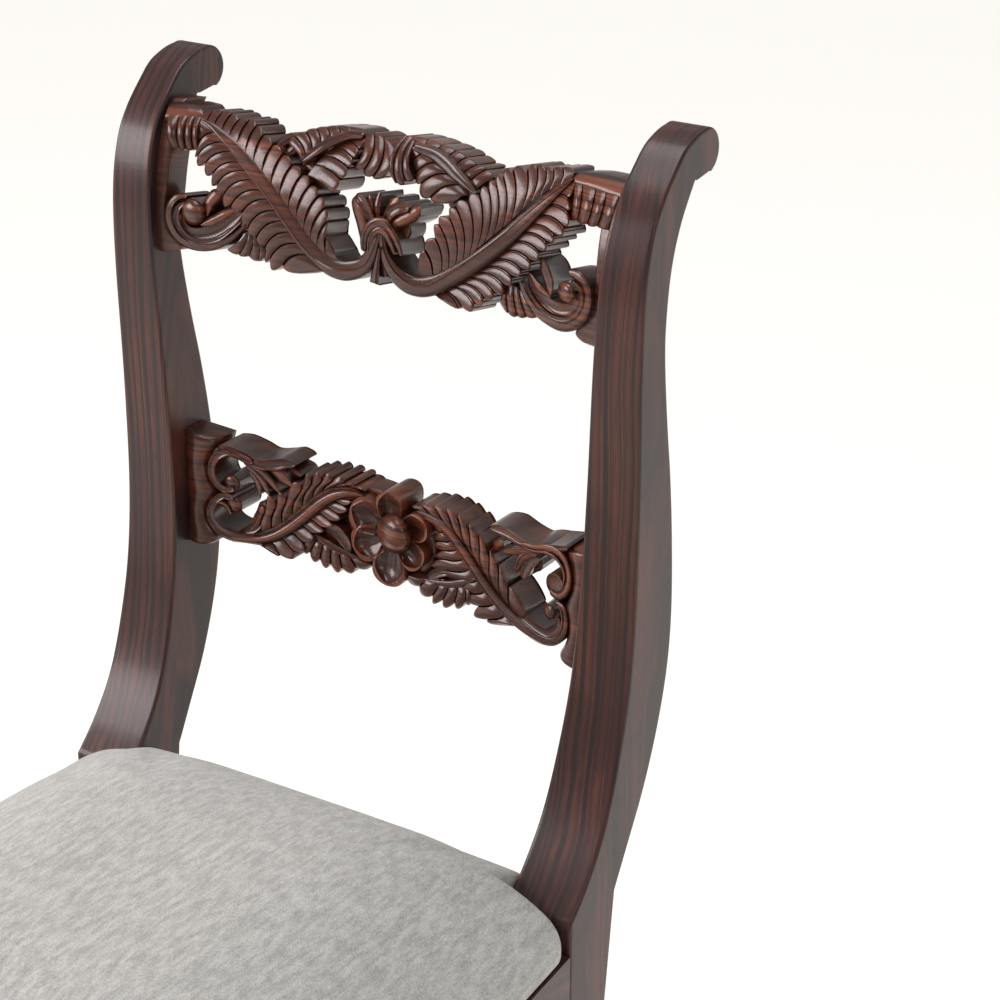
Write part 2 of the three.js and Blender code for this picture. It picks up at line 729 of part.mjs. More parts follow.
const pad_bottom = rail_top + fit_gap;
const board_bottom = pad_bottom + cover_thickness + fit_gap;
const board_top = board_bottom + board_thickness;
const block_low = rail_top - block_height;
const block_middle = rail_top - block_height / 2;
const rail_inner = (depth) => side_line(depth) - rail_thickness - fit_gap;

function corner_block(leg_inner_at, leg_face, rail_face, towards_seat) {
  const against_rail = rail_face + towards_seat * fit_gap;
  const against_leg = leg_face + towards_seat * fit_gap;
  const leg_side = (depth) => leg_inner_at(depth) - fit_gap;
  const near_end = [leg_side(against_rail) - block_reach, against_rail];
  const notch = [leg_side(against_leg), against_leg];
  const far_depth = leg_face + towards_seat * block_reach;
  const far_end = [rail_inner(far_depth), far_depth];
  const outline = [
    near_end, [leg_side(against_rail), against_rail], notch, [rail_inner(against_leg), against_leg], far_end,
  ];
  const seat_place = [0, 1].map((axis) => (near_end[axis] + notch[axis] + far_end[axis]) / 3);
  const rail_place = near_end[0] + screw_inset;
  const side_depth = far_depth - towards_seat * screw_inset;
  const screws = [
    {
      use: 'rail',
      place: [rail_place, against_rail + towards_seat * screw_seat, block_middle],
      axis: new THREE.Vector3(0, -towards_seat, 0),
      length: screw_seat + fit_gap + screw_bite,
    },
    {
      use: 'side',
      place: [rail_inner(side_depth) - screw_seat, side_depth, block_middle],
      axis: new THREE.Vector3(1, 0, 0),
      length: screw_seat + fit_gap + screw_bite,
    },
    {
      use: 'seat',
      place: [...seat_place, block_low],
      axis: new THREE.Vector3(0, 0, 1),
      length: board_bottom - block_low + seat_screw_bite,
    },
  ];
  return { outline, screws };
}

function cut(body, holes) {
  return holes.reduce((left, hole) => left.subtract(hole), body);
}

const corners = {
  rear: corner_block(post_block_inner, 0, back_rail_setback, -1),
  front: corner_block(front_leg_inner, front_leg_back, front_rail_back, 1),
};

function holes_for(use, ends) {
  return ends.flatMap((end) => corners[end].screws)
    .filter((entry) => entry.use === use)
    .map(({ place, axis, length }) => screw_hole(place, axis, length));
}

function both_sides(holes) {
  return [...holes, ...holes.map(mirrored)];
}

function build_seat_frame() {
  const side = cut(side_rail(), holes_for('side', ['rear', 'front']));
  const back = cut(cross_rail(back_rail_setback, post_block_inner), both_sides(holes_for('rail', ['rear'])));
  const front = cut(cross_rail(front_rail_front, front_leg_inner), both_sides(holes_for('rail', ['front'])));
  add('seat_rail_back', back, rail_wood);
  add('seat_rail_front', front, rail_wood);
  for (const [name, hand] of sides) {
    add(`seat_rail_${name}`, sidewise(hand, side), rail_wood);
    for (const [end, { outline, screws }] of Object.entries(corners)) {
      const holes = screws.map(({ place, axis, length }) => screw_hole(place, axis, length));
      const block = cut(prism(outline, block_low, rail_top), holes);
      add(`corner_block_${end}_${name}`, sidewise(hand, block), block_wood);
      for (const { use, place, axis, length } of screws) {
        add(`${use}_screw_${end}_${name}`, sidewise(hand, screw(place, axis, length)), steel);
      }
    }
  }
}

// Seat pad: its outline runs round the posts, its top is crowned, its sides draw in towards the bottom

function rounded_corner(corner, radius, first_angle, last_angle, turn_x, turn_y) {
  const points = [];
  for (let i = 0; i <= 4; i += 1) {
    const angle = THREE.MathUtils.degToRad(first_angle + (last_angle - first_angle) * i / 4);
    points.push([
      corner[0] + turn_x * radius + radius * Math.cos(angle),
      corner[1] + turn_y * radius + radius * Math.sin(angle),
    ]);
  }
  return points;
}

function straight(from, to, count) {
  return Array.from({ length: count - 1 }, (_, i) => [0, 1].map(
    (axis) => from[axis] + (to[axis] - from[axis]) * (i + 1) / count,
  ));
}

function pad_outline(inset) {
  const radius = pad_corner_radius - inset;
  const tuck = Math.max(pad_tuck_radius - inset, inset / 4);
  const front = -seat_depth + inset;
  const behind = pad_back_overhang - inset;
  const shelf = -pad_post_gap - inset;
  const side = (depth) => side_line(depth) - inset;
  const between = post_block_inner() - pad_post_gap - inset;
  const back = rounded_corner([between, behind], tuck, 90, 0, -1, -1);
  const shoulder = rounded_corner([side(shelf), shelf], radius, 90, 0, -1, -1);
  const toe = rounded_corner([side(front), front], radius, 0, -90, -1, 1);
  const right = [
    ...straight([0, behind], back[0], 5), ...back, [between, shelf], ...shoulder,
    ...straight(shoulder[4], toe[0], 7), ...toe, ...straight(toe[4], [0, front], 5),
  ];
  const left = right.map(([x, y]) => [-x, y]).reverse();
  return [[0, behind], ...right, [0, front], ...left].reverse();
}

const pad_middle = (pad_back_overhang - seat_depth) / 2;
const pad_half_depth = (pad_back_overhang + seat_depth) / 2;

// The crown falls off by these powers of the way out to the sides and to the ends.
const [side_power, end_power] = [2.6, 3];

function crown_at(x, y) {
  const across = Math.min(1, Math.abs(x) / side_line(y));
  const along = Math.min(1, Math.abs(y - pad_middle) / pad_half_depth);
  return pad_crown * (1 - across ** side_power) * (1 - along ** end_power);
}

function pad_body(inset, bottom, drop) {
  const outline = pad_outline(inset);
  const ring_shares = [
    [pad_bulge / pad_half_depth, 0], [0, 0.4], [0, 0.72], [0.014, 0.93], [0.05, 1], [0.14, 1],
    [0.32, 1], [0.6, 1],
  ];
  const points = [];
  for (const [inward, up] of ring_shares) {
    for (const [x, y] of outline) {
      const [px, py] = [x * (1 - inward), pad_middle + (y - pad_middle) * (1 - inward)];
      const top = pad_bottom + pad_edge_height + crown_at(px, py) - drop;
      points.push(px, py, bottom + (top - bottom) * up);
    }
  }
  const count = outline.length;
  const rings = ring_shares.length;
  points.push(0, pad_middle, bottom, 0, pad_middle, pad_bottom + pad_edge_height + pad_crown - drop);
  const [low_centre, high_centre] = [rings * count, rings * count + 1];
  const faces = [];
  for (let i = 0; i < count; i += 1) {
    const next = (i + 1) % count;
    for (let ring = 0; ring < rings - 1; ring += 1) {
      const [a, b] = [ring * count + i, ring * count + next];
      faces.push(a, b, b + count, a, b + count, a + count);
    }
    faces.push(low_centre, next, i);
    faces.push(high_centre, (rings - 1) * count + i, (rings - 1) * count + next);
  }
  const geometry = new THREE.BufferGeometry();
  geometry.setAttribute('position', new THREE.BufferAttribute(new Float32Array(points), 3));
  geometry.setIndex(faces);
  return solid(geometry);
}

function build_seat() {
  const seat_holes = both_sides(holes_for('seat', ['rear', 'front']));
  const inside = cover_thickness + fit_gap;
  const opening = turn_under + cover_thickness;
  const cover = pad_body(0, pad_bottom, 0)
    .subtract(pad_body(cover_thickness, pad_bottom + cover_thickness, cover_thickness))
    .subtract(prism(pad_outline(opening), pad_bottom - overrun, pad_bottom + cover_thickness + fit_gap));
  const cloth = prism(pad_outline(opening + fit_gap), pad_bottom, pad_bottom + cover_thickness);
  const board_inset = inside + 2 * pad_bulge;
  const board = prism(pad_outline(board_inset), board_bottom, board_top);
  const padding = pad_body(inside, board_bottom, inside)
    .subtract(prism(pad_outline(0), board_bottom - overrun, board_top + fit_gap));
  add('seat_cover', cut(cover, seat_holes), fabric);
  add('seat_foam', padding, foam);
  add('seat_board', cut(board, seat_holes), plywood);
  add('dust_cloth', cut(cloth, seat_holes), lining);
}

function build_glides() {
  const glides = [['back', back_foot_place], ['front', front_foot_place]];
  for (const [end, place] of glides) {
    for (const [name, side] of sides) add(`glide_${end}_${name}`, sidewise(side, glide(place)), nylon);
  }
}

build_frame();
build_seat_frame();
build_seat();
build_glides();

export default chair;
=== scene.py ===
"""Klismos dining chair: the visible surfaces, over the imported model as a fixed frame.

Shapes are worked out in millimetres in the chair's own measure: x from the middle, y back from the posts'
front face at the seat, z up from the springing, where the posts leave the seat. They are put into the meshes
in metres in the frame's place. A carved rail is laid out flat first, as a run, a height and a rise off its
face, and is bent to the chair last.
"""
from __future__ import annotations

import logging
import math
from dataclasses import dataclass, field
from enum import Enum

import bmesh
import bpy
import numpy as np
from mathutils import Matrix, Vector
from mathutils.kdtree import KDTree


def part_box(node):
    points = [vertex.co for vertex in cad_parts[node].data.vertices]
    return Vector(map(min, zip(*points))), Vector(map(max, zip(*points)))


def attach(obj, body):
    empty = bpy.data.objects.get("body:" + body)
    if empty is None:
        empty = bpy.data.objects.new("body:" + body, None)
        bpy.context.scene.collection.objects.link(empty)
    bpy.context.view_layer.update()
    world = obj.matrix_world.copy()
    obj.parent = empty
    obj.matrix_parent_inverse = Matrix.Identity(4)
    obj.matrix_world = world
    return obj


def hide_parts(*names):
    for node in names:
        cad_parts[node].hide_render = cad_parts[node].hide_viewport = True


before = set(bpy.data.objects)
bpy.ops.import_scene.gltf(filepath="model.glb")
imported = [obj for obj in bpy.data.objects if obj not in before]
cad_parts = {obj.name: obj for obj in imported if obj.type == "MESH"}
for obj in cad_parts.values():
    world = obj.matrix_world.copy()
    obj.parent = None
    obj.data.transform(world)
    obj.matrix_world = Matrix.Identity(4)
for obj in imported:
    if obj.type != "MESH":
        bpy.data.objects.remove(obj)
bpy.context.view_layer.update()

LOG = logging.getLogger("klismos")
Array = np.ndarray
Pair = tuple[float, float]
Triple = tuple[float, float, float]
Socket = bpy.types.NodeSocket

MM = 0.001
IN_MM = (1 / MM,) * 3
# The springing lies above the seat rails' top, and the posts rise above the springing.
RAIL_TOP_DROP = 23.0
POST_RISE = 471.0
# Read from the frame: the posts' front face and outer face, and the seat rails' top and bottom.
FACE_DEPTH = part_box("post_right")[0][1] / MM
HALF_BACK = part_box("post_right")[1][0] / MM
RAIL_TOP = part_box("seat_rail_back")[1][2] / MM
RAIL_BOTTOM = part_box("seat_rail_back")[0][2] / MM
SPRINGING = RAIL_TOP + RAIL_TOP_DROP
SEAT_DEPTH = 400.0
HALF_FRONT = 225.0
# The wood of a leg ends on its glide. Its free length hangs below the seat rails.
FOOT_HEIGHT = 3.3
LEG_TOP = RAIL_BOTTOM - SPRINGING
LEG = RAIL_BOTTOM - FOOT_HEIGHT
# The photograph's camera in the frame, and in the chair's own measure.
CAMERA_PLACE = (0.8583, -0.9859, 1.3089)
EYE = np.array(CAMERA_PLACE) / MM - np.array([0.0, FACE_DEPTH, SPRINGING])


def placed(points: Array) -> Array:
    """Moves points from the chair's own measure in millimetres to the frame in metres.

    Args:
        points: x, depth from the posts' face and height above the springing, one row for each point.

    Returns:
        The same points in the frame's place.
    """
    return (points + np.array([0.0, FACE_DEPTH, SPRINGING])) * MM


def smooth_at(points: Array, place: Array) -> Array:
    """Reads a curve through points, each stretch a cubic whose ends lean along their neighbours.

    Args:
        points: the points that the curve passes, one row each.
        place: where to read it: 0 is the first point, 1 the second, and so on.

    Returns:
        One row for each place.
    """
    start = np.minimum(place.astype(int), len(points) - 2)
    share = (place - start)[:, None]
    before, here = points[np.maximum(start - 1, 0)], points[start]
    there, after = points[start + 1], points[np.minimum(start + 2, len(points) - 1)]
    out, back = (there - before) / 2, (after - here) / 2
    cubic = (2 * here - 2 * there + out + back) * share**3
    square = (3 * there - 3 * here - 2 * out - back) * share**2
    return cubic + square + out * share + here


def smooth_through(points: Array, count: int) -> Array:
    """Samples the smooth curve through points, evenly over its stretches."""
    return smooth_at(points, np.linspace(0.0, len(points) - 1, count))


def evenly(points: Array, count: int) -> Array:
    """Samples a polyline at equal steps of its length.

    Args:
        points: the polyline, one row for each point.
        count: how many samples to give back.

    Returns:
        The samples, one row each.
    """
    steps = np.linalg.norm(np.diff(points, axis=0), axis=1)
    length = np.concatenate([[0.0], np.cumsum(steps)])
    wanted = np.linspace(0.0, length[-1], count)
    return np.stack([np.interp(wanted, length, column) for column in points.T], axis=1)


def spread(values: tuple[float, ...], share: Array) -> Array:
    """Reads values, which stand evenly along a length, at shares of that length."""
    return np.interp(share, np.linspace(0.0, 1.0, len(values)), values)


@dataclass
class Surface:
    """Points, four-sided faces and a painted light level for each point, from 0, painted shade in hollows, to 1, a
    painted highlight on crests.
    """

    points: Array
    quads: Array
    tone: Array

    @staticmethod
    def joined(parts: list[Surface]) -> Surface:
        """Puts several surfaces into one."""
        starts = np.cumsum([0] + [len(part.points) for part in parts[:-1]])
        return Surface(
            np.concatenate([part.points for part in parts]),
            np.concatenate([part.quads + start for part, start in zip(parts, starts)]),
            np.concatenate([part.tone for part in parts]),
        )

    def facing_out(self) -> Surface:
        """Turns the faces round where the closed surface holds a negative volume."""
        a, b, c, d = (self.points[self.quads[:, k]] for k in range(4))
        volume = np.einsum("ij,ij->i", a, np.cross(b, c) + np.cross(c, d)).sum()
        quads = self.quads if volume > 0 else self.quads[:, ::-1]
        return Surface(self.points, quads, self.tone)

    def moved(self, points: Array) -> Surface:
        """The same faces on other points."""
        return Surface(points, self.quads, self.tone).facing_out()


def grid_quads(columns: int, rows: int, wrap: bool = False) -> Array:
    """Numbers the faces of a grid whose points are kept column after column.

    Args:
        columns: how many columns of points the grid has.
        rows: how many points a column has.
        wrap: whether the last point of each column joins its first.

    Returns:
        Four point numbers for each face.
    """
    i = np.arange(columns - 1)[:, None]
    j = np.arange(rows if wrap else rows - 1)[None, :]
    following = (j + 1) % rows
    corners = [i * rows + j, (i + 1) * rows + j, (i + 1) * rows + following, i * rows + following]
    return np.stack([corner.ravel() for corner in np.broadcast_arrays(*corners)], axis=1)


def tube_quads(steps: int, around: int) -> Array:
    """Numbers the faces of a tube of rings with an even count of points, and of strips that close both ends."""
    strip = np.arange(around // 2 - 1)
    cap = np.stack([strip, strip + 1, around - 2 - strip, around - 1 - strip], axis=1)
    return np.concatenate([grid_quads(steps, around, wrap=True), cap[:, ::-1], cap + (steps - 1) * around])


def plain_surface(points: Array, quads: Array) -> Surface:
    """Closes a grid of points with its faces, at one even painted light level that paints no shade and no highlight."""
    return Surface(points.reshape(-1, 3), quads, np.full(points.size // 3, 0.5)).facing_out()


@dataclass
class Front:
    """A carved front on a grid of columns and rows: run, height and rise of each point, and the painted light level
    there.
    """

    points: Array
    tone: Array

    def shell(self, back: float) -> Surface:
        """Closes the front with walls that run straight back to the board's flat back.

        Args:
            back: the rise of the flat back, below zero.

        Returns:
            The closed surface.
        """
        columns, rows = self.points.shape[:2]
        rear = self.points.copy()
        rear[:, :, 2] = back
        points = np.concatenate([self.points.reshape(-1, 3), rear.reshape(-1, 3)])
        face = grid_quads(columns, rows)
        number = np.arange(columns * rows).reshape(columns, rows)
        rim = np.concatenate([number[:, 0], number[-1, 1:], number[-2::-1, -1], number[0, -2:0:-1]])
        following, count = np.roll(rim, -1), columns * rows
        wall = np.stack([rim, rim + count, following + count, following], axis=1)
        # The walls and the flat back are given painted shade.
        tones = np.concatenate([self.tone.ravel(), np.full(count, 0.2)])
        return Surface(points, np.concatenate([face, face[:, ::-1] + count, wall]), tones)


class Section(Enum):
    """What a band looks like cut across."""

    ROUND = "round"
    ROOF = "roof"
    DISH = "dish"
    DOUBLE = "double"


class Tip(Enum):
    """How a band ends: cut square, rounded, or drawn to a point."""

    SQUARE = 0.0
    ROUND = 1.0
    POINTED = 3.0


ROUND, ROOF, DISH, DOUBLE = Section
BLUNT, SHARP = (Tip.ROUND, Tip.ROUND), (Tip.POINTED, Tip.POINTED)
SHARP_START, SHARP_END = (Tip.POINTED, Tip.ROUND), (Tip.ROUND, Tip.POINTED)
CUT_START, CUT_END = (Tip.SQUARE, Tip.ROUND), (Tip.ROUND, Tip.SQUARE)
SHARP_CUT, CUT_SHARP = (Tip.POINTED, Tip.SQUARE), (Tip.SQUARE, Tip.POINTED)
# The places of a roof's points, as shares of the way from its peak to either side.
SLOPE_STEPS = np.array([0.0, 0.06, 0.12, 0.28, 0.46, 0.64, 0.8, 0.92, 1.0])


@dataclass(frozen=True)
class Band:
    """A stem, rib or tongue that follows a path: half widths, rises and peaks stand evenly along it.

    The peak is the place across the band, from -1 on its right to 1 on its left, where a roof is highest.
    """

    points: list[Pair]
    widths: tuple[float, ...]
    rises: tuple[float, ...]
    section: Section = ROUND
    relief: float = 2.5
    tips: tuple[Tip, Tip] = BLUNT
    peaks: tuple[float, ...] = (0.0,)
    columns: int = 40

    def height(self, across: Array, peak: Array) -> Array:
        """The section's height, from 0 at its lowest to 1, at places across it.

        ROUND is an arch with steep flanks. ROOF is two slopes that meet in a fine raised line at the peak.
        DISH is a hollow between two lips. DOUBLE is a wide arch and a narrow one with a groove between them.
        """
        slope = np.where(across > peak, (across - peak) / (1 - peak), (peak - across) / (1 + peak))
        if self.section is ROOF:
            return 1 - 0.26 * np.minimum(slope / 0.12, 1.0) - 0.16 * slope - 0.58 * slope**6
        if self.section is DISH:
            return np.minimum(0.4 + 0.8 * np.abs(across) ** 2.2, 5.6 - 5.3 * np.abs(across))
        if self.section is DOUBLE:
            bead = 0.9 - 1.5 * np.abs((across - 0.72) / 0.28) ** 2.2
            body = 1.0 - 0.8 * np.abs((across + 0.28) / 0.72) ** 2.6
            return np.maximum(np.maximum(bead, body), 0.05)
        return 1 - np.abs(across) ** 2.6

    def front(self) -> Front:
        """Works the band out: to each side of the path by its width, as high as its section there.

        Towards a round or pointed tip the width shrinks as a quarter circle over one or three half widths.
        """
        even = np.linspace(0.0, 1.0, self.columns)
        share = 0.5 * even + 0.25 * (1 - np.cos(np.pi * even))
        path = smooth_at(np.array(self.points, dtype=float), share * (len(self.points) - 1))
        run = np.concatenate([[0.0], np.cumsum(np.linalg.norm(np.diff(path, axis=0), axis=1))])
        along = np.gradient(path, axis=0)
        along /= np.linalg.norm(along, axis=1)[:, None]
        left_of = np.stack([-along[:, 1], along[:, 0]], axis=1)
        width = spread(self.widths, share)
        for tip, gap, end_width in zip(self.tips, (run, run[-1] - run), (width[0], width[-1])):
            if tip is not Tip.SQUARE:
                left = np.clip(1 - gap / (tip.value * max(end_width, 1.0)), 0.0, 1.0)
                width = width * np.maximum(np.sqrt(1 - left**2), 0.02)
        peak = spread(self.peaks, share)[:, None]
        across = np.concatenate(
            [peak - (peak + 1) * SLOPE_STEPS[::-1], peak + (1 - peak) * SLOPE_STEPS[1:]], axis=1,
        )
        if self.section is not ROOF:
            across = 0 * across - np.cos(np.linspace(0.0, np.pi, across.shape[1]))
        flat = path[:, None, :] + left_of[:, None, :] * (width[:, None] * across)[:, :, None]
        height = self.height(across, peak)
        taper = (width / max(self.widths))[:, None] ** 0.5
        rise = spread(self.rises, share)[:, None] + self.relief * taper * (height - 1)
        # Painted light: painted shade on the low parts of the section, painted highlights on the high parts.
        return Front(np.concatenate([flat, rise[:, :, None]], axis=2), np.clip(0.1 + 0.8 * height**3, 0.0, 1.0))


# The places of a blade's points: shares of the way across a lobe, shares of the way along a vein to the rim, and
# what is left of the rim's width.
LOBE_PHASES = np.array([0.0, 0.025, 0.05, 0.085, 0.18, 0.34, 0.5, 0.66, 0.77, 0.81, 0.85, 0.89, 0.945, 0.975])
VEIN_SHARES = np.array([0.0, 0.04, 0.1, 0.19, 0.3, 0.42, 0.54, 0.66, 0.78, 0.9, 1.0])
RIM_GAPS = np.array([0.62, 0.3, 0.08, 0.0])
# How far a groove reaches into the lobe after it and the lobe before it, and where a bead's line lies.
GROOVE_AFTER, GROOVE_BEFORE = 0.085, 0.055
BEAD_PLACE, BEAD_HALF = 0.81, 0.04
# The length in millimetres from which a vein has its lobe's full relief.
FULL_LENGTH = 14.0


@dataclass(frozen=True)
class Blade:
    """One side of a leaf: lobes between veins, each vein from a root by the midrib to a place on the edge.

    Roots and edge are listed from the leaf's foot to its tip, one more than the lobes. The rises are those at
    the midrib, half way out and at the edge.
    """

    roots: list[Pair]
    edge: list[Pair]
    rises: tuple[float, float, float] = (3.4, 5.2, 3.2)
    bow: float = 0.26
    step: float = 0.9
    pillow: float = 1.5
    groove: float = 1.5
    notch: float = 0.13
    bluntness: float = 0.55
    rim: float = 1.0
    sway: float = 0.0
    under: float = 3.0
    # How deep the painted shade is at the lobes' roots by the midrib.
    root_shade: float = 0.45
    beaded: bool = False

    def front(self) -> Front:
        """Works the blade out on a grid whose columns are veins.

        A vein is a quadratic curve whose middle is pushed to the side of the leaf's tip by the bow, a share
        of its length. Across a lobe the face climbs by the step to that side and swells in the middle, and a
        narrow groove parts it from the next lobe, with a fine bead beside it on a beaded blade. A lobe's end
        is rounded by a power of the sine across it, and its rim is rounded over. The veins start a little
        under the midrib, and sway as an S.
        """
        lobes = len(self.roots) - 1
        phase = np.append(np.tile(LOBE_PHASES, lobes), 1.0)
        place = np.append(np.repeat(np.arange(lobes), len(LOBE_PHASES)), lobes - 1) + phase
        roots, edge = np.array(self.roots, dtype=float), np.array(self.edge, dtype=float)
        root, end = smooth_at(roots, place), smooth_at(edge, place)
        ahead = smooth_at(roots, np.minimum(place + 0.3, lobes)) - smooth_at(roots, np.maximum(place - 0.3, 0))
        chord = end - root
        length = np.maximum(np.linalg.norm(chord, axis=1), 0.5)[:, None]
        unit = chord / length
        lean = ahead - unit * np.einsum("ij,ij->i", ahead, unit)[:, None]
        lean /= np.maximum(np.linalg.norm(lean, axis=1), 1e-6)[:, None]
        control = (root + end) / 2 + self.bow * length * lean
        reach = 1 - self.notch * (1 - np.sin(np.pi * phase)[:, None] ** self.bluntness)
        rim = np.minimum(self.rim / length, 0.3)
        way = np.concatenate([-self.under / length, VEIN_SHARES * (reach - rim), reach - rim * RIM_GAPS], axis=1)
        w = way[:, :, None]
        flat = (1 - w) ** 2 * root[:, None] + 2 * w * (1 - w) * control[:, None] + w**2 * end[:, None]
        flat += (self.sway * length * lean)[:, None] * np.sin(2 * np.pi * np.clip(w, 0.0, 1.0))
        over = np.clip(1 - (reach - way) / rim, 0.0, 1.0)
        rise, tone = self.relief(phase[:, None], way, over, np.minimum(length / FULL_LENGTH, 1.0))
        return Front(np.concatenate([flat, rise[:, :, None]], axis=2), tone)

    def relief(self, phase: Array, way: Array, over: Array, size: Array) -> tuple[Array, Array]:
        """Works out how high the blade stands, and its painted shade and painted highlights.

        Args:
            phase: the place across the lobe, from 0 at its foot's side to 1, one row for each vein.
            way: the share of the way along the vein, one column for each point.
            over: the place on the rounded rim, from 0 at its start to 1 at the edge.
            size: the share of the full relief that each vein has.

        Returns:
            The rises and the painted light levels.
        """
        low, middle, high = self.rises
        arch = low * (1 - way) * (1 - 2 * way) + 4 * middle * way * (1 - way) + high * way * (2 * way - 1)
        cut = np.maximum(np.clip(1 - phase / GROOVE_AFTER, 0, 1), np.clip(1 - (1 - phase) / GROOVE_BEFORE, 0, 1))
        if self.beaded:
            cut = np.maximum(cut, 0.6 * np.clip(1 - np.abs(phase - BEAD_PLACE) / BEAD_HALF, 0, 1))
        lobe = self.step * (phase - 0.5) + self.pillow * np.sin(np.pi * phase) - self.groove * cut
        lobe = lobe * size * (0.25 + 0.75 * np.clip(way / 0.3, 0.0, 1.0))
        # Painted light: painted highlights along each lobe's crest and on the rounded rim, painted shade in the grooves
        # and at the roots.
        crest_highlight = np.exp(-(((phase - 0.87) / 0.09) ** 2))
        shade = self.root_shade * np.exp(-((way / 0.05) ** 2)) + 1.2 * cut
        tone = np.clip(0.5 + 0.35 * crest_highlight * way + 0.2 * over - shade, 0.0, 1.0)
        return arch + lobe - self.rim * (1 - np.sqrt(1 - over**2)), tone


@dataclass(frozen=True)
class Boss:
    """A round button: half a sphere, pressed flat by a share, on a short drum."""

    centre: Pair
    radius: float
    base: float
    bulge: float = 0.8

    def front(self) -> Front:
        """Works the boss out in strips across it, each as wide as the circle there."""
        turn = np.linspace(0.004, np.pi - 0.004, 34)
        over = np.sin(np.linspace(-np.pi / 2, np.pi / 2, 29))
        along, half = -np.cos(turn)[:, None] + 0 * over, np.sin(turn)[:, None]
        across = half * over[None, :]
        height = np.sqrt(np.clip(1 - along**2 - across**2, 0.0, 1.0))
        place = [self.centre[0] + self.radius * along, self.centre[1] + self.radius * across]
        # Painted light: a little painted shade round the edge of the dome.
        return Front(np.stack([*place, self.base + self.radius * self.bulge * height], axis=2), 0.3 + 0.2 * height)


@dataclass(frozen=True)
class Petal:
    """A cupped petal that leaves a flower's middle at an angle in degrees.

    The cup is its depth, the lip is how far its rim turns down again, and the creases have a height and a pace.
    """

    centre: Pair
    angle: float
    radius: float
    base: float
    cup: float = 8.2
    lip: float = 1.4
    crease: float = 0.3
    crease_pace: float = 13.0

    def front(self) -> Front:
        """Works the petal out: a deep bowl with a thin rim, and fine creases from its foot."""
        along = np.sin(np.linspace(0.0, np.pi / 2, 40))[:, None]
        across = np.sin(np.linspace(-np.pi / 2, np.pi / 2, 35))[None, :]
        turn = math.radians(self.angle)
        out = np.array([math.cos(turn), math.sin(turn)])
        beside = np.array([-out[1], out[0]])
        half = self.radius * (0.12 + 0.24 * np.sin(np.pi * np.clip(0.04 + 0.7 * along**1.2, 0, 1)) ** 0.8)
        half = half * np.clip((1.0 - along**9), 0.03, 1.0) ** 0.5
        reach = self.radius * (0.15 + 0.85 * along)
        flat = np.array(self.centre) + out * (reach + 0 * across)[:, :, None] + beside * (half * across)[:, :, None]
        side = np.abs(across) * np.clip(along / 0.25, 0.3, 1.0)
        edge = np.clip(np.sqrt(side**2 + np.clip((along - 0.45) / 0.55, 0, 1) ** 2), 0.0, 1.0)
        cup = self.cup * edge**1.9 * (0.4 + 0.6 * along) - self.lip * np.clip((edge - 0.92) / 0.08, 0, 1) ** 2
        creases = self.crease * np.cos(self.crease_pace * across) * np.clip(1.2 - along, 0, 1) * (1 - edge)
        rise = self.base + 0.6 * along + cup + creases
        # Painted light: painted highlights on the rim, painted shade in the cup and most at its foot.
        tone = np.clip(0.26 + 0.74 * edge**8 - 0.2 * (1 - along) ** 2, 0.0, 1.0)
        return Front(np.concatenate([flat, rise[:, :, None]], axis=2), tone)


@dataclass(frozen=True)
class Cheek:
    """The board at a rail's end, which meets the post: its inner edge is a run at each of several heights.

    The hand is -1 on the left and 1 on the right. Towards the post the board's top climbs by the slope, and its
    face swells by the barrel in between.
    """

    inner: list[Pair]
    rise: float
    hand: float
    edge: float = 1.6
    slope: float = 0.0
    barrel: float = 0.0

    def heights(self, count: int) -> Array:
        """Even heights from the board's foot to its top."""
        return np.linspace(self.inner[0][1], self.inner[-1][1], count)

    def front(self, outer: Array) -> Front:
        """Works the cheek out in rows from its inner edge to the post, rounded over at its edges.

        Args:
            outer: the post's inner face at each row's height.

        Returns:
            The front, on the board itself.
        """
        share = np.linspace(0.0, 1.0, len(outer))
        height = self.heights(len(outer))
        line = smooth_through(np.array(self.inner, dtype=float), 200)
        inner = np.interp(height, line[:, 1], line[:, 0])
        steps = np.array([0.0, 0.08, 0.3, 0.62, 1.0])
        over = np.clip(1 - steps, 0.0, 1.0)
        shares = np.linspace(0.0, 1.0, 10)[None, 1:]
        run = np.minimum(inner[:, None] + self.edge * steps[None, :], outer[:, None] - 0.05)
        run = np.concatenate([run, run[:, -1:] + (outer[:, None] - run[:, -1:]) * shares], axis=1)
        drop = np.concatenate([self.edge * (1 - np.sqrt(1 - over**2)), np.zeros(shares.size)])
        ends = np.clip(np.minimum(share, 1 - share) * (height[-1] - height[0]) / self.edge, 0.0, 1.0)
        fall = self.edge * (1 - np.sqrt(1 - (1 - ends) ** 2))
        away = (run - inner[:, None]) / np.maximum(outer - inner, 1.0)[:, None]
        rise = self.rise - drop[None, :] - fall[:, None] + self.barrel * (1 - (2 * away - 0.8) ** 2)
        tilt = self.slope * away * np.clip((share - 0.6) / 0.4, 0.0, 1.0)[:, None]
        return Front(np.stack([self.hand * run, height[:, None] + tilt, rise], axis=2), np.full(run.shape, 0.4))


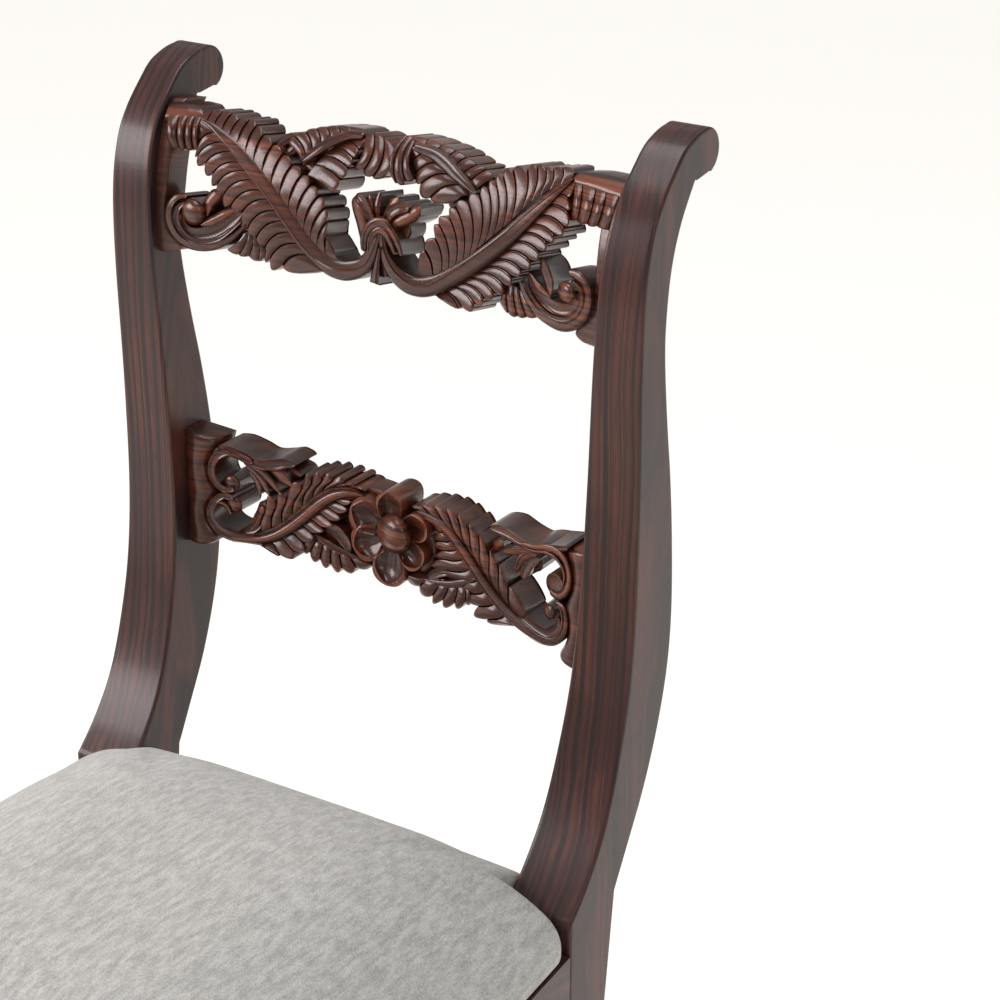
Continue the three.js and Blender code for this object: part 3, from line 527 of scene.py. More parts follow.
# The upper part of a back post seen from the side: depth and height as shares of its rise.
POST_FRONT_SHARES = np.array([
    [0, 0], [0.042, 0.042], [0.083, 0.1], [0.115, 0.18], [0.14, 0.275], [0.153, 0.39], [0.156, 0.55],
    [0.154, 0.72], [0.159, 0.825], [0.175, 0.892], [0.2, 0.934], [0.243, 0.977],
])
POST_BACK_SHARES = np.array([
    [0.117, -0.008], [0.148, 0.042], [0.187, 0.106], [0.217, 0.17], [0.239, 0.234], [0.252, 0.297],
    [0.256, 0.37], [0.251, 0.467], [0.242, 0.552], [0.229, 0.636], [0.219, 0.72], [0.219, 0.775],
    [0.229, 0.84], [0.25, 0.892], [0.282, 0.938],
])
POST_FRONT = smooth_through(POST_FRONT_SHARES * POST_RISE, 200)


def post_width(height: Array) -> Array:
    """The width of a back post: it narrows evenly upwards from the springing and downwards from the rails."""
    full, top, foot = 47.6, 28.0, 34.0
    above = np.clip(height / POST_RISE, 0.0, 1.0)
    below = np.clip((LEG_TOP - height) / LEG, 0.0, 1.0)
    return full + (top - full) * above + (foot - full) * below


def sight(points: Array) -> Array:
    """The directions in which the photograph's camera sees points: run and height for each unit of depth."""
    away = points - EYE
    return away[:, [0, 2]] / away[:, 1:2]


@dataclass
class CarvedRail:
    """A bowed, pierced and carved back rail, made of parts laid out flat and bent to the chair.

    The lean is the angle in degrees by which the saw tilted as it cut through the board.
    """

    name: str
    node: str
    setback: float
    bow: float
    lean: float
    thickness: float = 20.0
    parts: list[Surface] = field(default_factory=list)

    def back(self) -> float:
        """The rise of the next part's flat back: each lies a hair less deep than the last, so none coincide."""
        return -self.thickness + 0.02 * len(self.parts)

    def put(self, *shapes: Band | Blade | Boss | Petal) -> None:
        """Adds shapes that are drawn as the camera sees them."""
        for shape in shapes:
            front = shape.front()
            place = self.seen(front.points.reshape(-1, 3)).reshape(front.points.shape)
            self.parts.append(Front(place, front.tone).shell(self.back()))

    def put_cheek(self, cheek: Cheek) -> None:
        """Adds the board at one end of the rail, which is placed on the board itself."""
        outer = HALF_BACK - post_width(cheek.heights(90))
        self.parts.append(cheek.front(outer).shell(self.back()))

    def seen(self, drawn: Array) -> Array:
        """Moves raised points over the board until the camera sees them where they were drawn on its face.

        Args:
            drawn: run and height in the drawing, and rise, of each point.

        Returns:
            The points with their run and height on the board.
        """
        target = sight(self.bend(drawn * np.array([1.0, 1.0, 0.0])))
        place = drawn.copy()
        for _ in range(6):
            bent = self.bend(place)
            place[:, :2] += (target - sight(bent)) * (bent[:, 1:2] - EYE[1])
        return place

    def bend(self, flat: Array) -> Array:
        """Bends flat points: set back from the posts' front face, and bowed back as a parabola over the run.

        Args:
            flat: run, height and rise of each point.

        Returns:
            x, depth and height of each point in the chair's measure.
        """
        run, height, rise = flat.T
        span = HALF_BACK - post_width(height)
        bowed = self.bow * np.clip(1 - (run / span) ** 2, 0.0, 1.0)
        face = np.interp(height, POST_FRONT[:, 1], POST_FRONT[:, 0]) + self.setback
        lean = math.radians(self.lean)
        return np.stack([run, face + bowed - math.cos(lean) * rise, height + math.sin(lean) * rise], axis=1)

    def build(self) -> bpy.types.Object:
        """Bends every part and makes the rail's object in place of its CAD node."""
        bent = Surface.joined([part.moved(self.bend(part.points)) for part in self.parts])
        return make_piece(self.name, bent, 42.0, self.node)


def show(name: str, data: bpy.types.ID) -> bpy.types.Object:
    """Makes an object of a mesh, a light or a camera, and puts it into the scene."""
    shown = bpy.data.objects.new(name, data)
    bpy.context.scene.collection.objects.link(shown)
    return shown


def make_piece(name: str, surface: Surface, crease: float, *nodes: str) -> bpy.types.Object:
    """Makes an object from a surface in the chair's measure, rides it on the body and hides its nodes.

    Args:
        name: the object's name.
        surface: the points, faces and painted light levels.
        crease: the angle in degrees from which an edge stays sharp.
        nodes: the CAD nodes that the piece stands for.

    Returns:
        The object.
    """
    mesh = bpy.data.meshes.new(name)
    mesh.from_pydata(placed(surface.points).tolist(), [], surface.quads.tolist())
    # Each point's painted light level: the carved material paints shade where it is low and highlights where it is
    # high.
    tone = mesh.attributes.new("tone", "FLOAT", "POINT")
    tone.data.foreach_set("value", surface.tone.astype(np.float32))
    merged = bmesh.new()
    merged.from_mesh(mesh)
    bmesh.ops.remove_doubles(merged, verts=merged.verts, dist=1e-7)
    bmesh.ops.dissolve_degenerate(merged, edges=merged.edges, dist=1e-8)
    merged.to_mesh(mesh)
    merged.free()
    mesh.shade_smooth()
    mesh.set_sharp_from_angle(angle=math.radians(crease))
    piece = show(name, mesh)
    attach(piece, "root")
    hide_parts(*nodes)
    LOG.info("%s: %d faces, in place of %s", name, len(mesh.polygons), ", ".join(nodes))
    return piece


def crest_ferns(rail: CarvedRail) -> None:
    """Adds the two ferns of the crest rail, their midribs and the stems that meet in the middle."""
    plates = {"pillow": 0.3, "groove": 1.3, "rim": 1.3, "notch": 0.16, "bluntness": 0.6, "root_shade": 0.2}
    shells = {"pillow": 1.0, "rim": 1.6, "notch": 0.2, "bluntness": 0.6, "root_shade": 0.1}
    rail.put(
        Blade(
            [(-35, 363.5), (-44, 367), (-50, 372), (-55, 376.5), (-60, 381), (-66, 386.5), (-72, 392), (-79, 398.5),
             (-86, 405), (-93.5, 411), (-101, 417), (-108, 422), (-115, 426), (-122, 429), (-128.5, 431), (-135, 433),
             (-141, 434.5), (-147, 436.5)],
            [(-36, 368), (-42.5, 378), (-41.5, 387), (-43.5, 395.5), (-48.5, 402.5), (-55.5, 408.5), (-62.5, 414),
             (-71, 418.5), (-79.5, 423.5), (-88, 428.5), (-97, 433), (-104, 437.5), (-111, 439.5), (-118, 439),
             (-125, 441.5), (-132, 441.5), (-139, 441.5), (-147, 438.5)],
            (5.8, 5.4, 4.2), bow=0.2, step=-1.7, **plates,
        ),
        Blade(
            [(-46, 352.5), (-59, 361.5), (-66, 368), (-72, 374.5), (-77.5, 381), (-83, 387), (-88.5, 393.5),
             (-94.5, 398.5), (-100.5, 404), (-106.5, 409), (-112.5, 413.5), (-119.5, 419), (-126.5, 424), (-134, 429),
             (-147, 435)],
            [(-50, 350), (-78, 346.5), (-87.5, 349), (-91, 355.5), (-97.5, 360.5), (-103.5, 367.5), (-109.5, 374.5),
             (-116.5, 381), (-122.5, 387), (-127.5, 394), (-131.5, 400), (-137.5, 406), (-143.5, 410.5), (-144, 418.5),
             (-147.5, 431)],
            (5.6, 5.4, 2.2), bow=0.34, step=1.3, **shells,
        ),
        Blade(
            [(24, 361.5), (38, 364), (44.5, 368), (50, 372.5), (55.5, 377), (61, 381.5), (66, 386), (71.5, 391),
             (77, 396), (83, 402), (89, 408), (94.5, 413.5), (101, 420), (106.5, 425.5), (112, 430.5), (117.5, 434.5),
             (123.5, 437.5), (130.5, 440)],
            [(26, 366), (29, 382), (36.5, 391), (38, 400), (45.5, 405.5), (49.5, 412), (57.5, 417.5), (65.5, 422.5),
             (71, 427), (75, 431), (79, 434.5), (84.5, 438.5), (95, 440), (101, 442.5), (108, 442), (113.5, 442),
             (119.5, 443.5), (127.5, 444)],
            (3.8, 5.0, 5.4), bow=0.27, step=0.5, **plates,
        ),
        Blade(
            [(38, 352.5), (46, 357.5), (52.5, 361.5), (58.5, 365), (65, 369.5), (70.5, 373.5), (76, 378), (82, 383.5),
             (88, 390), (93.5, 396.5), (98.5, 402.5), (104, 408.5), (109.5, 415), (115, 421.5), (120.5, 428),
             (130.5, 438)],
            [(43, 350.5), (62, 346), (72.5, 350.5), (79.5, 356), (87.5, 361), (95, 367.5), (101, 374.5), (108, 380.5),
             (114.5, 387), (120, 394), (125, 400.5), (130, 405.5), (136, 411), (136, 420.5), (133.5, 428), (134, 437)],
            (1.4, 4.8, 7.4), bow=0.3, step=-0.9, beaded=True, **(shells | {"pillow": 0.5}),
        ),
    )
    left_rib = [(-147.5, 435.6), (-138.5, 433.4), (-129.5, 429.3), (-117, 422.5), (-105.2, 414), (-93.8, 405),
                (-82.5, 394.8), (-71, 383), (-59.8, 371.3), (-49.3, 362.5), (-39.5, 357.3), (-29.5, 356.2),
                (-20, 358.8), (-13.8, 363), (-9.5, 369.8), (-6, 378.8), (-3.5, 387)]
    right_rib = [(131, 439), (123, 431.5), (113, 421), (103, 410.5), (92.5, 399.5), (81.5, 389.5), (70.5, 380.3),
                 (60, 372.3), (50, 365.6), (40, 359.6), (30, 356.3), (20, 356), (11.5, 359.5), (5, 365.5),
                 (0.8, 373), (-1.5, 384)]
    rail.put(
        Band(left_rib, (0.8, 1.6, 2.5, 3.9, 4.8, 5.1, 5.2, 6.0, 6.7, 6.8, 7.2, 7.1, 6.3, 5.5, 4.4, 3.0, 2.0),
             (5.8, 6.8, 7.4, 7.8, 8.0, 8.0, 8.0, 7.8, 7.6, 7.6, 7.6, 7.8, 8.2, 8.8, 9.4, 9.8, 9.8), ROOF, 3.6,
             SHARP_START, columns=130,
             peaks=(0.0, -0.3, -0.5, -0.7, -0.8, -0.82, -0.82, -0.8, -0.74, -0.6, -0.3, 0.0, 0.0, 0.0, 0.0, 0.0, 0.0)),
        Band(right_rib, (0.8, 2.6, 3.6, 4.6, 5.0, 5.3, 5.4, 5.5, 5.7, 6.3, 7.0, 6.9, 6.2, 5.0, 3.6, 2.4),
             (5.8, 6.8, 7.4, 7.8, 8.0, 8.0, 8.0, 7.8, 7.6, 7.6, 7.8, 8.2, 8.8, 9.2, 9.6, 9.8), ROOF, 3.6,
             SHARP_START, columns=130,
             peaks=(0.0, -0.4, -0.55, -0.6, -0.62, -0.64, -0.64, -0.6, -0.5, -0.35, -0.1, 0.0, 0.0, 0.0, 0.0, 0.0)),
    )


def crest_leaves(rail: CarvedRail) -> None:
    """Adds the two rolled leaves along the top of the crest rail and their rolls, which meet in a dip."""
    plates = {"pillow": 0.9, "step": 0.6, "groove": 1.2, "rim": 1.4, "notch": 0.12}
    shells = {"pillow": 0.9, "step": -0.4, "rim": 1.6, "notch": 0.14, "root_shade": 0.2}
    rolls = {"pillow": 1.4, "step": 0.9, "groove": 1.5, "rim": 1.4, "notch": 0.1, "under": 0.0, "root_shade": 0.0}
    rail.put(
        Band([(-64, 424), (-56, 415), (-47, 406)], (5.0, 6.5, 5.0), (-1.5, -1.5, -3.0), ROUND, 2.0),
        Band([(62, 426), (56, 417), (47, 410)], (4.0, 5.0, 3.0), (-1.5, -1.5, -3.0), ROUND, 2.0),
        Band([(-86, 426), (-81, 430.5), (-76, 433.5)], (2.5, 3.4, 2.2), (0.5, 0.5, 0.0), ROOF, 2.6),
        Band([(-78, 421.5), (-73, 427), (-68, 432)], (2.5, 3.6, 2.4), (0.5, 1.0, 0.5), ROOF, 2.6),
        Blade(
            [(-66, 420), (-63.5, 423.5), (-60, 427.5), (-55, 431), (-49.5, 434.5), (-43, 437.5), (-35.5, 439.5),
             (-27, 440)],
            [(-79, 428.5), (-77, 433.5), (-70, 437), (-63, 439.5), (-56, 441), (-48.5, 442.4), (-39.5, 443),
             (-28, 443)],
            (4.8, 5.0, 3.0), bow=0.16, **plates,
        ),
        Blade(
            [(-57, 411.5), (-52, 419), (-47.5, 425.5), (-41.5, 431), (-35.5, 435.3), (-27, 438.5)],
            [(-40, 403.5), (-34, 412), (-30, 419.5), (-28, 425.5), (-26, 431), (-24, 437)],
            (5.0, 7.4, 8.6), bow=0.12, **shells,
        ),
        Blade(
            [(64, 421), (58, 424.5), (51.5, 428), (44.5, 431.5), (37, 434.8), (28.5, 437.4), (19, 439), (9, 439.6)],
            [(77, 430.5), (70, 434.5), (62, 435.8), (52.5, 438.5), (43.5, 440.7), (32, 442.2), (20, 443.6),
             (9, 443.8)],
            (4.8, 4.8, 2.8), bow=0.16, **plates,
        ),
        Blade(
            [(59, 418), (52, 423), (43, 427.5), (33, 432.5), (22, 436), (10, 438)],
            [(51, 411.5), (30.5, 409.5), (21.5, 416.5), (18, 424), (13.5, 430.5), (8, 436)],
            (6.0, 7.2, 4.0), bow=0.26, **shells,
        ),
        Blade(
            [(-26.5, 439.8), (-20.5, 441.6), (-12.5, 440.2), (-2.5, 436.5)],
            [(-28.5, 421), (-21.5, 419.3), (-14, 416.5), (-5, 417.5)],
            (6.4, 8.8, 5.0), bow=0.42, **rolls,
        ),
        Blade(
            [(11.5, 439.3), (8.5, 442), (4, 443.2), (0.2, 441)],
            [(19.5, 421), (13.8, 418), (7.5, 415.5), (1.5, 419.5)],
            (6.8, 9.2, 5.6), bow=0.34, **rolls,
        ),
        Band([(-66.5, 419.3), (-61, 424), (-54, 429.8), (-46, 434.8), (-37, 438.4), (-27, 439.6)],
             (1.4, 2.6, 3.1, 3.0, 2.6, 2.0), (6.4, 8.4, 9.6, 9.8, 9.6, 8.8), DISH, 2.6, SHARP_START, columns=60),
        Band([(65, 420), (56, 424.7), (47, 428.9), (37, 433.4), (26, 436.8), (10, 438.4)],
             (1.6, 3.0, 3.5, 3.4, 3.0, 2.0), (6.4, 8.4, 9.6, 9.8, 9.6, 8.8), DISH, 2.6, SHARP_START, columns=60),
    )


def crest_left(rail: CarvedRail) -> None:
    """Adds the collar, the volute with its small leaves and the end board on the left of the crest rail."""
    outer = [(-104, 374), (-113, 365.3), (-122, 359.6), (-131, 356.2), (-141, 355), (-150, 357), (-157, 362.5),
             (-160.8, 371), (-159.8, 379.5), (-155, 386), (-147.5, 388)]
    inner = [(-107, 376.5), (-115, 369.5), (-124, 362.8), (-133, 359.3), (-142.5, 358.8), (-150.5, 363),
             (-154.8, 370.5), (-154, 378.5), (-149, 383.5)]
    channel = [(-106, 382), (-114, 376), (-123, 369), (-133, 364.8), (-143, 363.5), (-150, 368), (-151.5, 376)]
    rail.put(
        Band([(-172, 428), (-160, 428), (-144, 428)], (9.5, 9.5, 8.5), (1.0, 1.0, 1.0), ROUND, 1.0,
             CUT_START),
        Blade([(-145.5, 437), (-150.5, 437), (-155.5, 437), (-161.5, 436.5), (-169, 436)],
              [(-141.5, 418.5), (-145, 417), (-150.5, 416.5), (-155.5, 416.2), (-163, 417.5)],
              (4.8, 6.6, 1.6), bow=0.14, pillow=2.0, groove=1.0, notch=0.06, under=0.0, root_shade=0.0),
        Band([(-172, 437), (-158, 437.8), (-145.5, 438)], (6.2, 5.8, 4.2), (4.4, 5.6, 5.0), ROUND, 4.2,
             CUT_START),
        Band(channel, (1.5, 4.2, 5.0, 5.0, 4.6, 3.4, 1.8), (5.0, 5.6, 6.0, 6.4, 6.6, 6.8, 6.6), DISH, 2.6,
             SHARP_START, columns=70),
        Band(outer, (1.2, 2.4, 2.8, 2.9, 2.8, 2.8, 2.8, 2.7, 2.5, 2.3, 1.6),
             (5.2, 5.8, 6.2, 6.6, 7.0, 7.2, 7.4, 7.6, 7.6, 7.4, 6.6), ROOF, 3.4, SHARP_START,
             (-0.7,), 90),
        Band(inner, (0.8, 1.7, 2.1, 2.2, 2.2, 2.3, 2.3, 2.1, 1.3), (5.0, 5.8, 6.2, 6.6, 7.0, 7.2, 7.4, 7.4, 6.8),
             DISH, 1.6, SHARP_START, columns=90),
        Boss((-142.6, 378.2), 9.4, 2.4, 0.9),
        Band([(-132, 376.5), (-131, 384), (-126, 391), (-121, 394.5)], (2.0, 4.2, 4.6, 2.2), (4.6, 5.6, 5.2, 3.6),
             ROUND, 3.0, SHARP),
        Band([(-137, 370), (-128, 373.8), (-119, 379), (-110, 384.5)], (1.6, 3.8, 3.8, 1.6), (6.4, 7.0, 6.2, 4.4),
             ROUND, 3.0, SHARP),
        Blade([(-107, 366), (-102, 367.5), (-98, 366), (-93.5, 363), (-89, 360)],
              [(-118.5, 356), (-110, 353), (-102, 353), (-95, 351), (-90, 354)],
              (4.8, 4.6, 2.0), bow=0.1, step=-1.0, pillow=1.0, notch=0.1),
    )
    edge = [(164, 348.6), (153, 351.2), (151, 354.5), (155, 358), (160, 363), (162.5, 370), (163, 380), (162, 392),
            (161.5, 410), (161.5, 430), (161, 446)]
    rail.put_cheek(Cheek(edge, rise=1.0, hand=-1.0))


def crest_right(rail: CarvedRail) -> None:
    """Adds the collar, the volute with its small leaves and the end board on the right of the crest rail."""
    outer = [(104, 375), (109.5, 365.8), (117, 359), (126, 355), (136, 353.6), (145, 356.6), (152, 363.2),
             (155.6, 372), (154.6, 381), (148.5, 387.4), (140, 388.2)]
    inner = [(107, 378), (112, 368.8), (120, 361.6), (130, 357.8), (140, 359), (147.5, 364.8), (150.8, 372),
             (149.5, 380), (143, 384)]
    channel = [(110.5, 382), (116, 374), (123.5, 367.6), (132, 364.2), (141, 365.6), (146.5, 370.5), (147, 378)]
    rail.put(
        Band([(134, 428), (150, 428), (172, 428)], (9.0, 9.5, 9.5), (0.8, 1.0, 1.0), ROUND, 1.0,
             CUT_END),
        Blade([(132.5, 437.5), (139, 437), (149, 436.5), (157, 436.5), (166, 436.5)],
              [(136.5, 419), (141.5, 417.5), (149, 417), (156.5, 417.3), (165, 417.5)],
              (4.6, 6.6, 1.6), bow=0.14, pillow=2.0, groove=1.0, notch=0.06, under=0.0, root_shade=0.0),
        Band([(112, 428), (122, 434), (134, 438.5)], (3.0, 4.0, 3.5), (1.0, 1.5, 2.0), ROUND, 2.0),
        Band([(131, 439), (145, 439.6), (158, 439.2), (172, 438.5)], (3.2, 4.6, 5.4, 6.0), (4.6, 5.2, 5.4, 5.4),
             ROUND, 4.0, CUT_END),
        Band(channel, (1.5, 3.8, 4.6, 4.6, 4.0, 3.0, 1.6), (4.8, 5.4, 5.8, 6.2, 6.4, 6.6, 6.4), DISH, 2.6,
             SHARP_START, columns=70),
        Band(outer, (1.2, 2.3, 2.6, 2.7, 3.1, 3.5, 3.8, 4.0, 4.0, 3.5, 2.2),
             (4.8, 5.4, 5.8, 6.2, 6.6, 7.0, 7.2, 7.4, 7.4, 7.2, 6.4), ROOF, 3.4, SHARP_START, (0.75,), 90),
        Band(inner, (0.8, 1.6, 2.0, 2.1, 2.1, 2.0, 1.9, 1.7, 1.1), (4.8, 5.4, 5.8, 6.2, 6.6, 7.0, 7.2, 7.2, 6.6),
             DISH, 1.6, SHARP_START, columns=90),
        Boss((140, 376), 6.8, 4.6, 0.9),
        Band([(127.5, 371), (126.5, 379), (122.5, 387), (119.5, 392.5)], (1.6, 4.0, 4.0, 1.6), (5.6, 6.4, 5.6, 4.0),
             ROOF, 3.0, SHARP, (-0.6,)),
        Band([(128, 370), (119, 374.5), (112, 381)], (1.4, 3.4, 1.8), (5.6, 6.0, 4.6), ROUND, 2.6,
             SHARP),
        Blade([(110.5, 364), (104.5, 366.5), (99.5, 368), (94, 366.5), (90.5, 362)],
              [(118, 354.5), (110.5, 352.8), (103.5, 351.5), (96.5, 351.8), (90, 357)],
              (3.6, 3.6, 1.2), bow=0.1, step=-0.8, pillow=1.2, notch=0.1),
    )
    edge = [(156.5, 347.2), (150, 349.6), (147.5, 352.8), (151, 356.6), (156, 362), (159.5, 370), (160.5, 380),
            (160.5, 395), (160, 415), (160, 432), (160, 445)]
    rail.put_cheek(Cheek(edge, rise=1.0, hand=1.0))


def crest_middle(rail: CarvedRail) -> None:
    """Adds the palmette, the tie over the stems and the tail below it."""
    lobes = [
        ([(6, 374), (13, 384), (19, 394)], (3.6, 5.0, 4.6), (-1.0, -0.5, -1.0), ROUND),
        ([(0.5, 391), (5, 400), (9, 409)], (3.0, 5.2, 5.4), (3.6, 4.4, 3.4), ROUND),
        ([(-11.5, 373), (-15.5, 388), (-19.5, 398), (-22, 405.5)], (4.0, 4.8, 5.0, 4.6), (4.4, 5.4, 5.8, 5.0),
         ROUND),
        ([(-8.5, 391), (-13.5, 397.5), (-18, 402.5), (-22.5, 406)], (2.4, 3.6, 3.8, 3.0), (7.4, 8.6, 8.6, 7.4),
         DISH),
        ([(-9, 393), (-11.5, 401), (-12.5, 407)], (2.2, 3.4, 2.6), (5.4, 6.4, 5.4), ROUND),
        ([(-4.5, 393), (-6, 401), (-4.8, 410)], (1.8, 2.8, 2.4), (6.6, 7.4, 5.8), ROOF),
        ([(3, 386), (10, 393.5), (18, 398.5), (25.5, 402.5)], (2.6, 4.2, 4.6, 4.6), (6.0, 7.4, 7.0, 5.8), ROUND),
        ([(0.5, 391.5), (4, 398.5), (10, 402.5), (17.5, 404)], (2.4, 3.8, 3.8, 3.0), (7.6, 8.8, 8.8, 7.6), DISH),
        ([(19, 399.5), (23, 402.5), (26.5, 405)], (3.4, 4.4, 3.6), (7.6, 8.0, 7.0), ROUND),
    ]
    for points, widths, rises, section in lobes:
        rail.put(Band(points, widths, rises, section, 2.8))
    tie = [(-14.5, 371), (-14.5, 379.5), (-11, 387), (-5.5, 391), (0.5, 390.8), (6, 386), (11, 379.5), (14, 373)]
    under = [(-10.5, 370), (-10.2, 378), (-7.2, 384), (-3, 386.6), (1.2, 385), (5.2, 379.8), (9, 373)]
    rail.put(
        Band(tie, (2.0, 3.0, 3.4, 3.6, 3.6, 3.4, 3.0, 2.0), (7.4, 9.4, 10.8, 11.4, 11.4, 10.8, 9.4, 7.4), ROOF,
             3.2, BLUNT, (0.35,), 60),
        Band(under, (1.4, 2.1, 2.4, 2.5, 2.4, 2.1, 1.4), (8.0, 9.8, 10.8, 11.0, 10.8, 9.8, 8.0), ROOF, 2.2,
             BLUNT, (0.4,), 60),
        Band([(-2.6, 376), (-4.6, 364), (-6.4, 351.4)], (0.6, 2.6, 4.0), (10.4, 8.6, 7.2), ROOF, 4.4,
             SHARP_CUT, (0.05,)),
        Band([(-2.0, 374), (0.4, 365), (2.6, 357.4)], (0.5, 1.8, 3.0), (9.0, 6.8, 4.6), ROOF, 3.4,
             SHARP_CUT, (0.3,)),
    )


def build_crest() -> bpy.types.Object:
    """Lays out and builds the crest rail."""
    rail = CarvedRail("carved_crest_rail", "crest_rail", setback=9.0, bow=15.0, lean=10.5)
    crest_ferns(rail)
    crest_leaves(rail)
    crest_left(rail)
    crest_right(rail)
    crest_middle(rail)
    return rail.build()


def lower_ferns(rail: CarvedRail) -> None:
    """Adds the two ferns of the lower rail, their midribs and the sprays below them."""
    leafy = {"pillow": 1.3, "groove": 1.5, "notch": 0.32, "bluntness": 0.85, "rim": 1.2}
    rail.put(
        Blade(
            [(-116, 150.5), (-107, 152.5), (-99, 157), (-91.5, 162.5), (-84, 169.5), (-76.5, 177), (-69, 184),
             (-61.5, 189.5), (-53, 194), (-43, 197), (-33, 197.5)],
            [(-111, 161), (-106, 178), (-98, 182.5), (-90, 187.5), (-77.5, 199), (-70, 203), (-61.5, 205), (-52.5, 205),
             (-42.5, 204), (-34, 202), (-27, 198)],
            (3.6, 5.2, 3.4), bow=0.02, step=1.2, sway=-0.06, **leafy,
        ),
        Blade(
            [(-110, 146.5), (-101, 149), (-94, 153), (-87, 158.5), (-80.5, 164.5), (-74.5, 170.5), (-68.5, 176.5),
             (-62.5, 181.5), (-56, 186), (-48.5, 189.5), (-37, 192)],
            [(-107, 143.5), (-88, 136.8), (-77.5, 142), (-71, 150), (-64.5, 158.5), (-57, 164), (-50.5, 170),
             (-45, 176.5), (-40.5, 184), (-38.5, 189.5), (-34, 191.5)],
            (2.0, 5.0, 7.2), bow=-0.06, step=-0.9, sway=0.03, root_shade=0.1, **(leafy | {"pillow": 0.7}),
        ),
        Blade(
            [(104, 142.5), (93, 147), (84.5, 152), (76.5, 158), (68.5, 164.5), (61.5, 171), (55, 177), (48, 182.5),
             (40.5, 187), (30, 191.5), (16, 194)],
            [(107.5, 151), (87, 167), (77.5, 178), (69, 185), (60, 193), (51, 197), (42, 200.5), (32.5, 201),
             (22.5, 200), (13, 197.5), (7, 195)],
            (3.6, 5.2, 3.4), bow=0.0, step=1.2, sway=0.05, **leafy,
        ),
        Blade(
            [(99, 138), (88.5, 141.5), (79, 146.5), (70.5, 152), (63.5, 157.5), (57, 163.5), (51.5, 169), (46, 174.5),
             (41, 179), (35.5, 183.5), (27, 188)],
            [(97, 136.5), (68, 130.8), (60, 138), (51, 144.5), (46, 151.5), (26, 154), (25.5, 162), (29, 168.5),
             (25.5, 174.5), (26.5, 182), (25, 189)],
            (4.8, 5.2, 2.0), bow=-0.06, step=0.8, sway=-0.03, root_shade=0.1, **leafy,
        ),
        Blade(
            [(-72, 155), (-66, 154), (-60, 153), (-54, 152), (-48, 151), (-40, 149.5), (-23, 147)],
            [(-76, 146), (-71, 141.5), (-62, 137.5), (-53, 136), (-43, 135.3), (-31, 139.5), (-20, 145.5)],
            (5.0, 5.2, 1.4), bow=-0.1, step=0.9, **leafy,
        ),
        Blade(
            [(57, 150), (54, 149.5), (48, 148.5), (41, 148), (33, 147.5), (22, 147), (8, 146.5)],
            [(61, 142), (55, 136.5), (44.5, 132.5), (33.5, 131.8), (25, 133), (14, 138.5), (5.5, 143)],
            (5.0, 5.2, 1.4), bow=-0.1, step=0.9, **leafy,
        ),
    )
    rises = (6.4, 7.0, 7.6, 8.0, 8.2, 8.2, 8.0, 7.6, 6.4)
    left_rib = [(-128, 146.5), (-112, 148), (-99, 152.5), (-87.5, 160.5), (-76.5, 170.5), (-65.5, 181.5), (-54, 189.8),
                (-42.5, 194), (-30, 194.2)]
    right_rib = [(122, 136.6), (108, 138), (94, 142.2), (81, 148.8), (69, 157.2), (58, 167.2), (46, 178.2), (32, 188),
                 (12, 192.5)]
    rail.put(
        Band([(-34, 196), (-24, 198.5), (-12, 197.5)], (3.0, 3.4, 3.0), (-1.0, -1.0, -1.0), ROUND, 2.0),
        Band([(-30, 150), (-36, 168), (-32, 188)], (8.0, 10.0, 8.0), (-2.0, -2.0, -2.0), ROUND, 3.0),
        Band([(18, 150), (23, 168), (20, 190)], (7.0, 8.0, 6.0), (-2.0, -2.0, -2.0), ROUND, 3.0),
        Band([(-58, 163), (-50, 160), (-42, 154)], (4.0, 6.0, 4.0), (0.0, 0.0, 0.0), ROUND, 2.0),
        Band(left_rib, (3.0, 3.6, 4.2, 4.6, 4.8, 4.8, 4.4, 3.6, 2.2), rises, DOUBLE, 2.6,
             CUT_SHARP, columns=80),
        Band(right_rib, (3.2, 3.4, 3.8, 4.0, 4.0, 4.0, 4.0, 3.6, 2.4), rises, ROOF, 2.8,
             CUT_SHARP, (0.82,), 80),
        Band([(-66, 158), (-56, 153.8), (-44, 150), (-24, 146.5)], (1.8, 3.0, 2.8, 1.4), (6.0, 7.0, 6.8, 5.0),
             ROOF, 2.4, SHARP, (-0.3,)),
        Band([(62, 158.5), (50, 152), (36, 147.5), (12, 145)], (1.8, 3.0, 2.8, 1.4), (6.0, 7.0, 6.8, 5.0),
             ROOF, 2.4, SHARP, (0.3,)),
        Band([(-60, 166.5), (-51, 164.5), (-43.5, 158), (-39, 151)], (1.6, 4.6, 4.6, 1.8), (5.4, 6.4, 5.8, 4.4),
             DISH, 2.0, SHARP),
        Band([(45, 158), (36, 156), (28, 152), (22, 147)], (1.4, 3.6, 3.6, 1.8), (4.6, 5.8, 5.4, 4.4),
             DISH, 2.0, SHARP),
    )


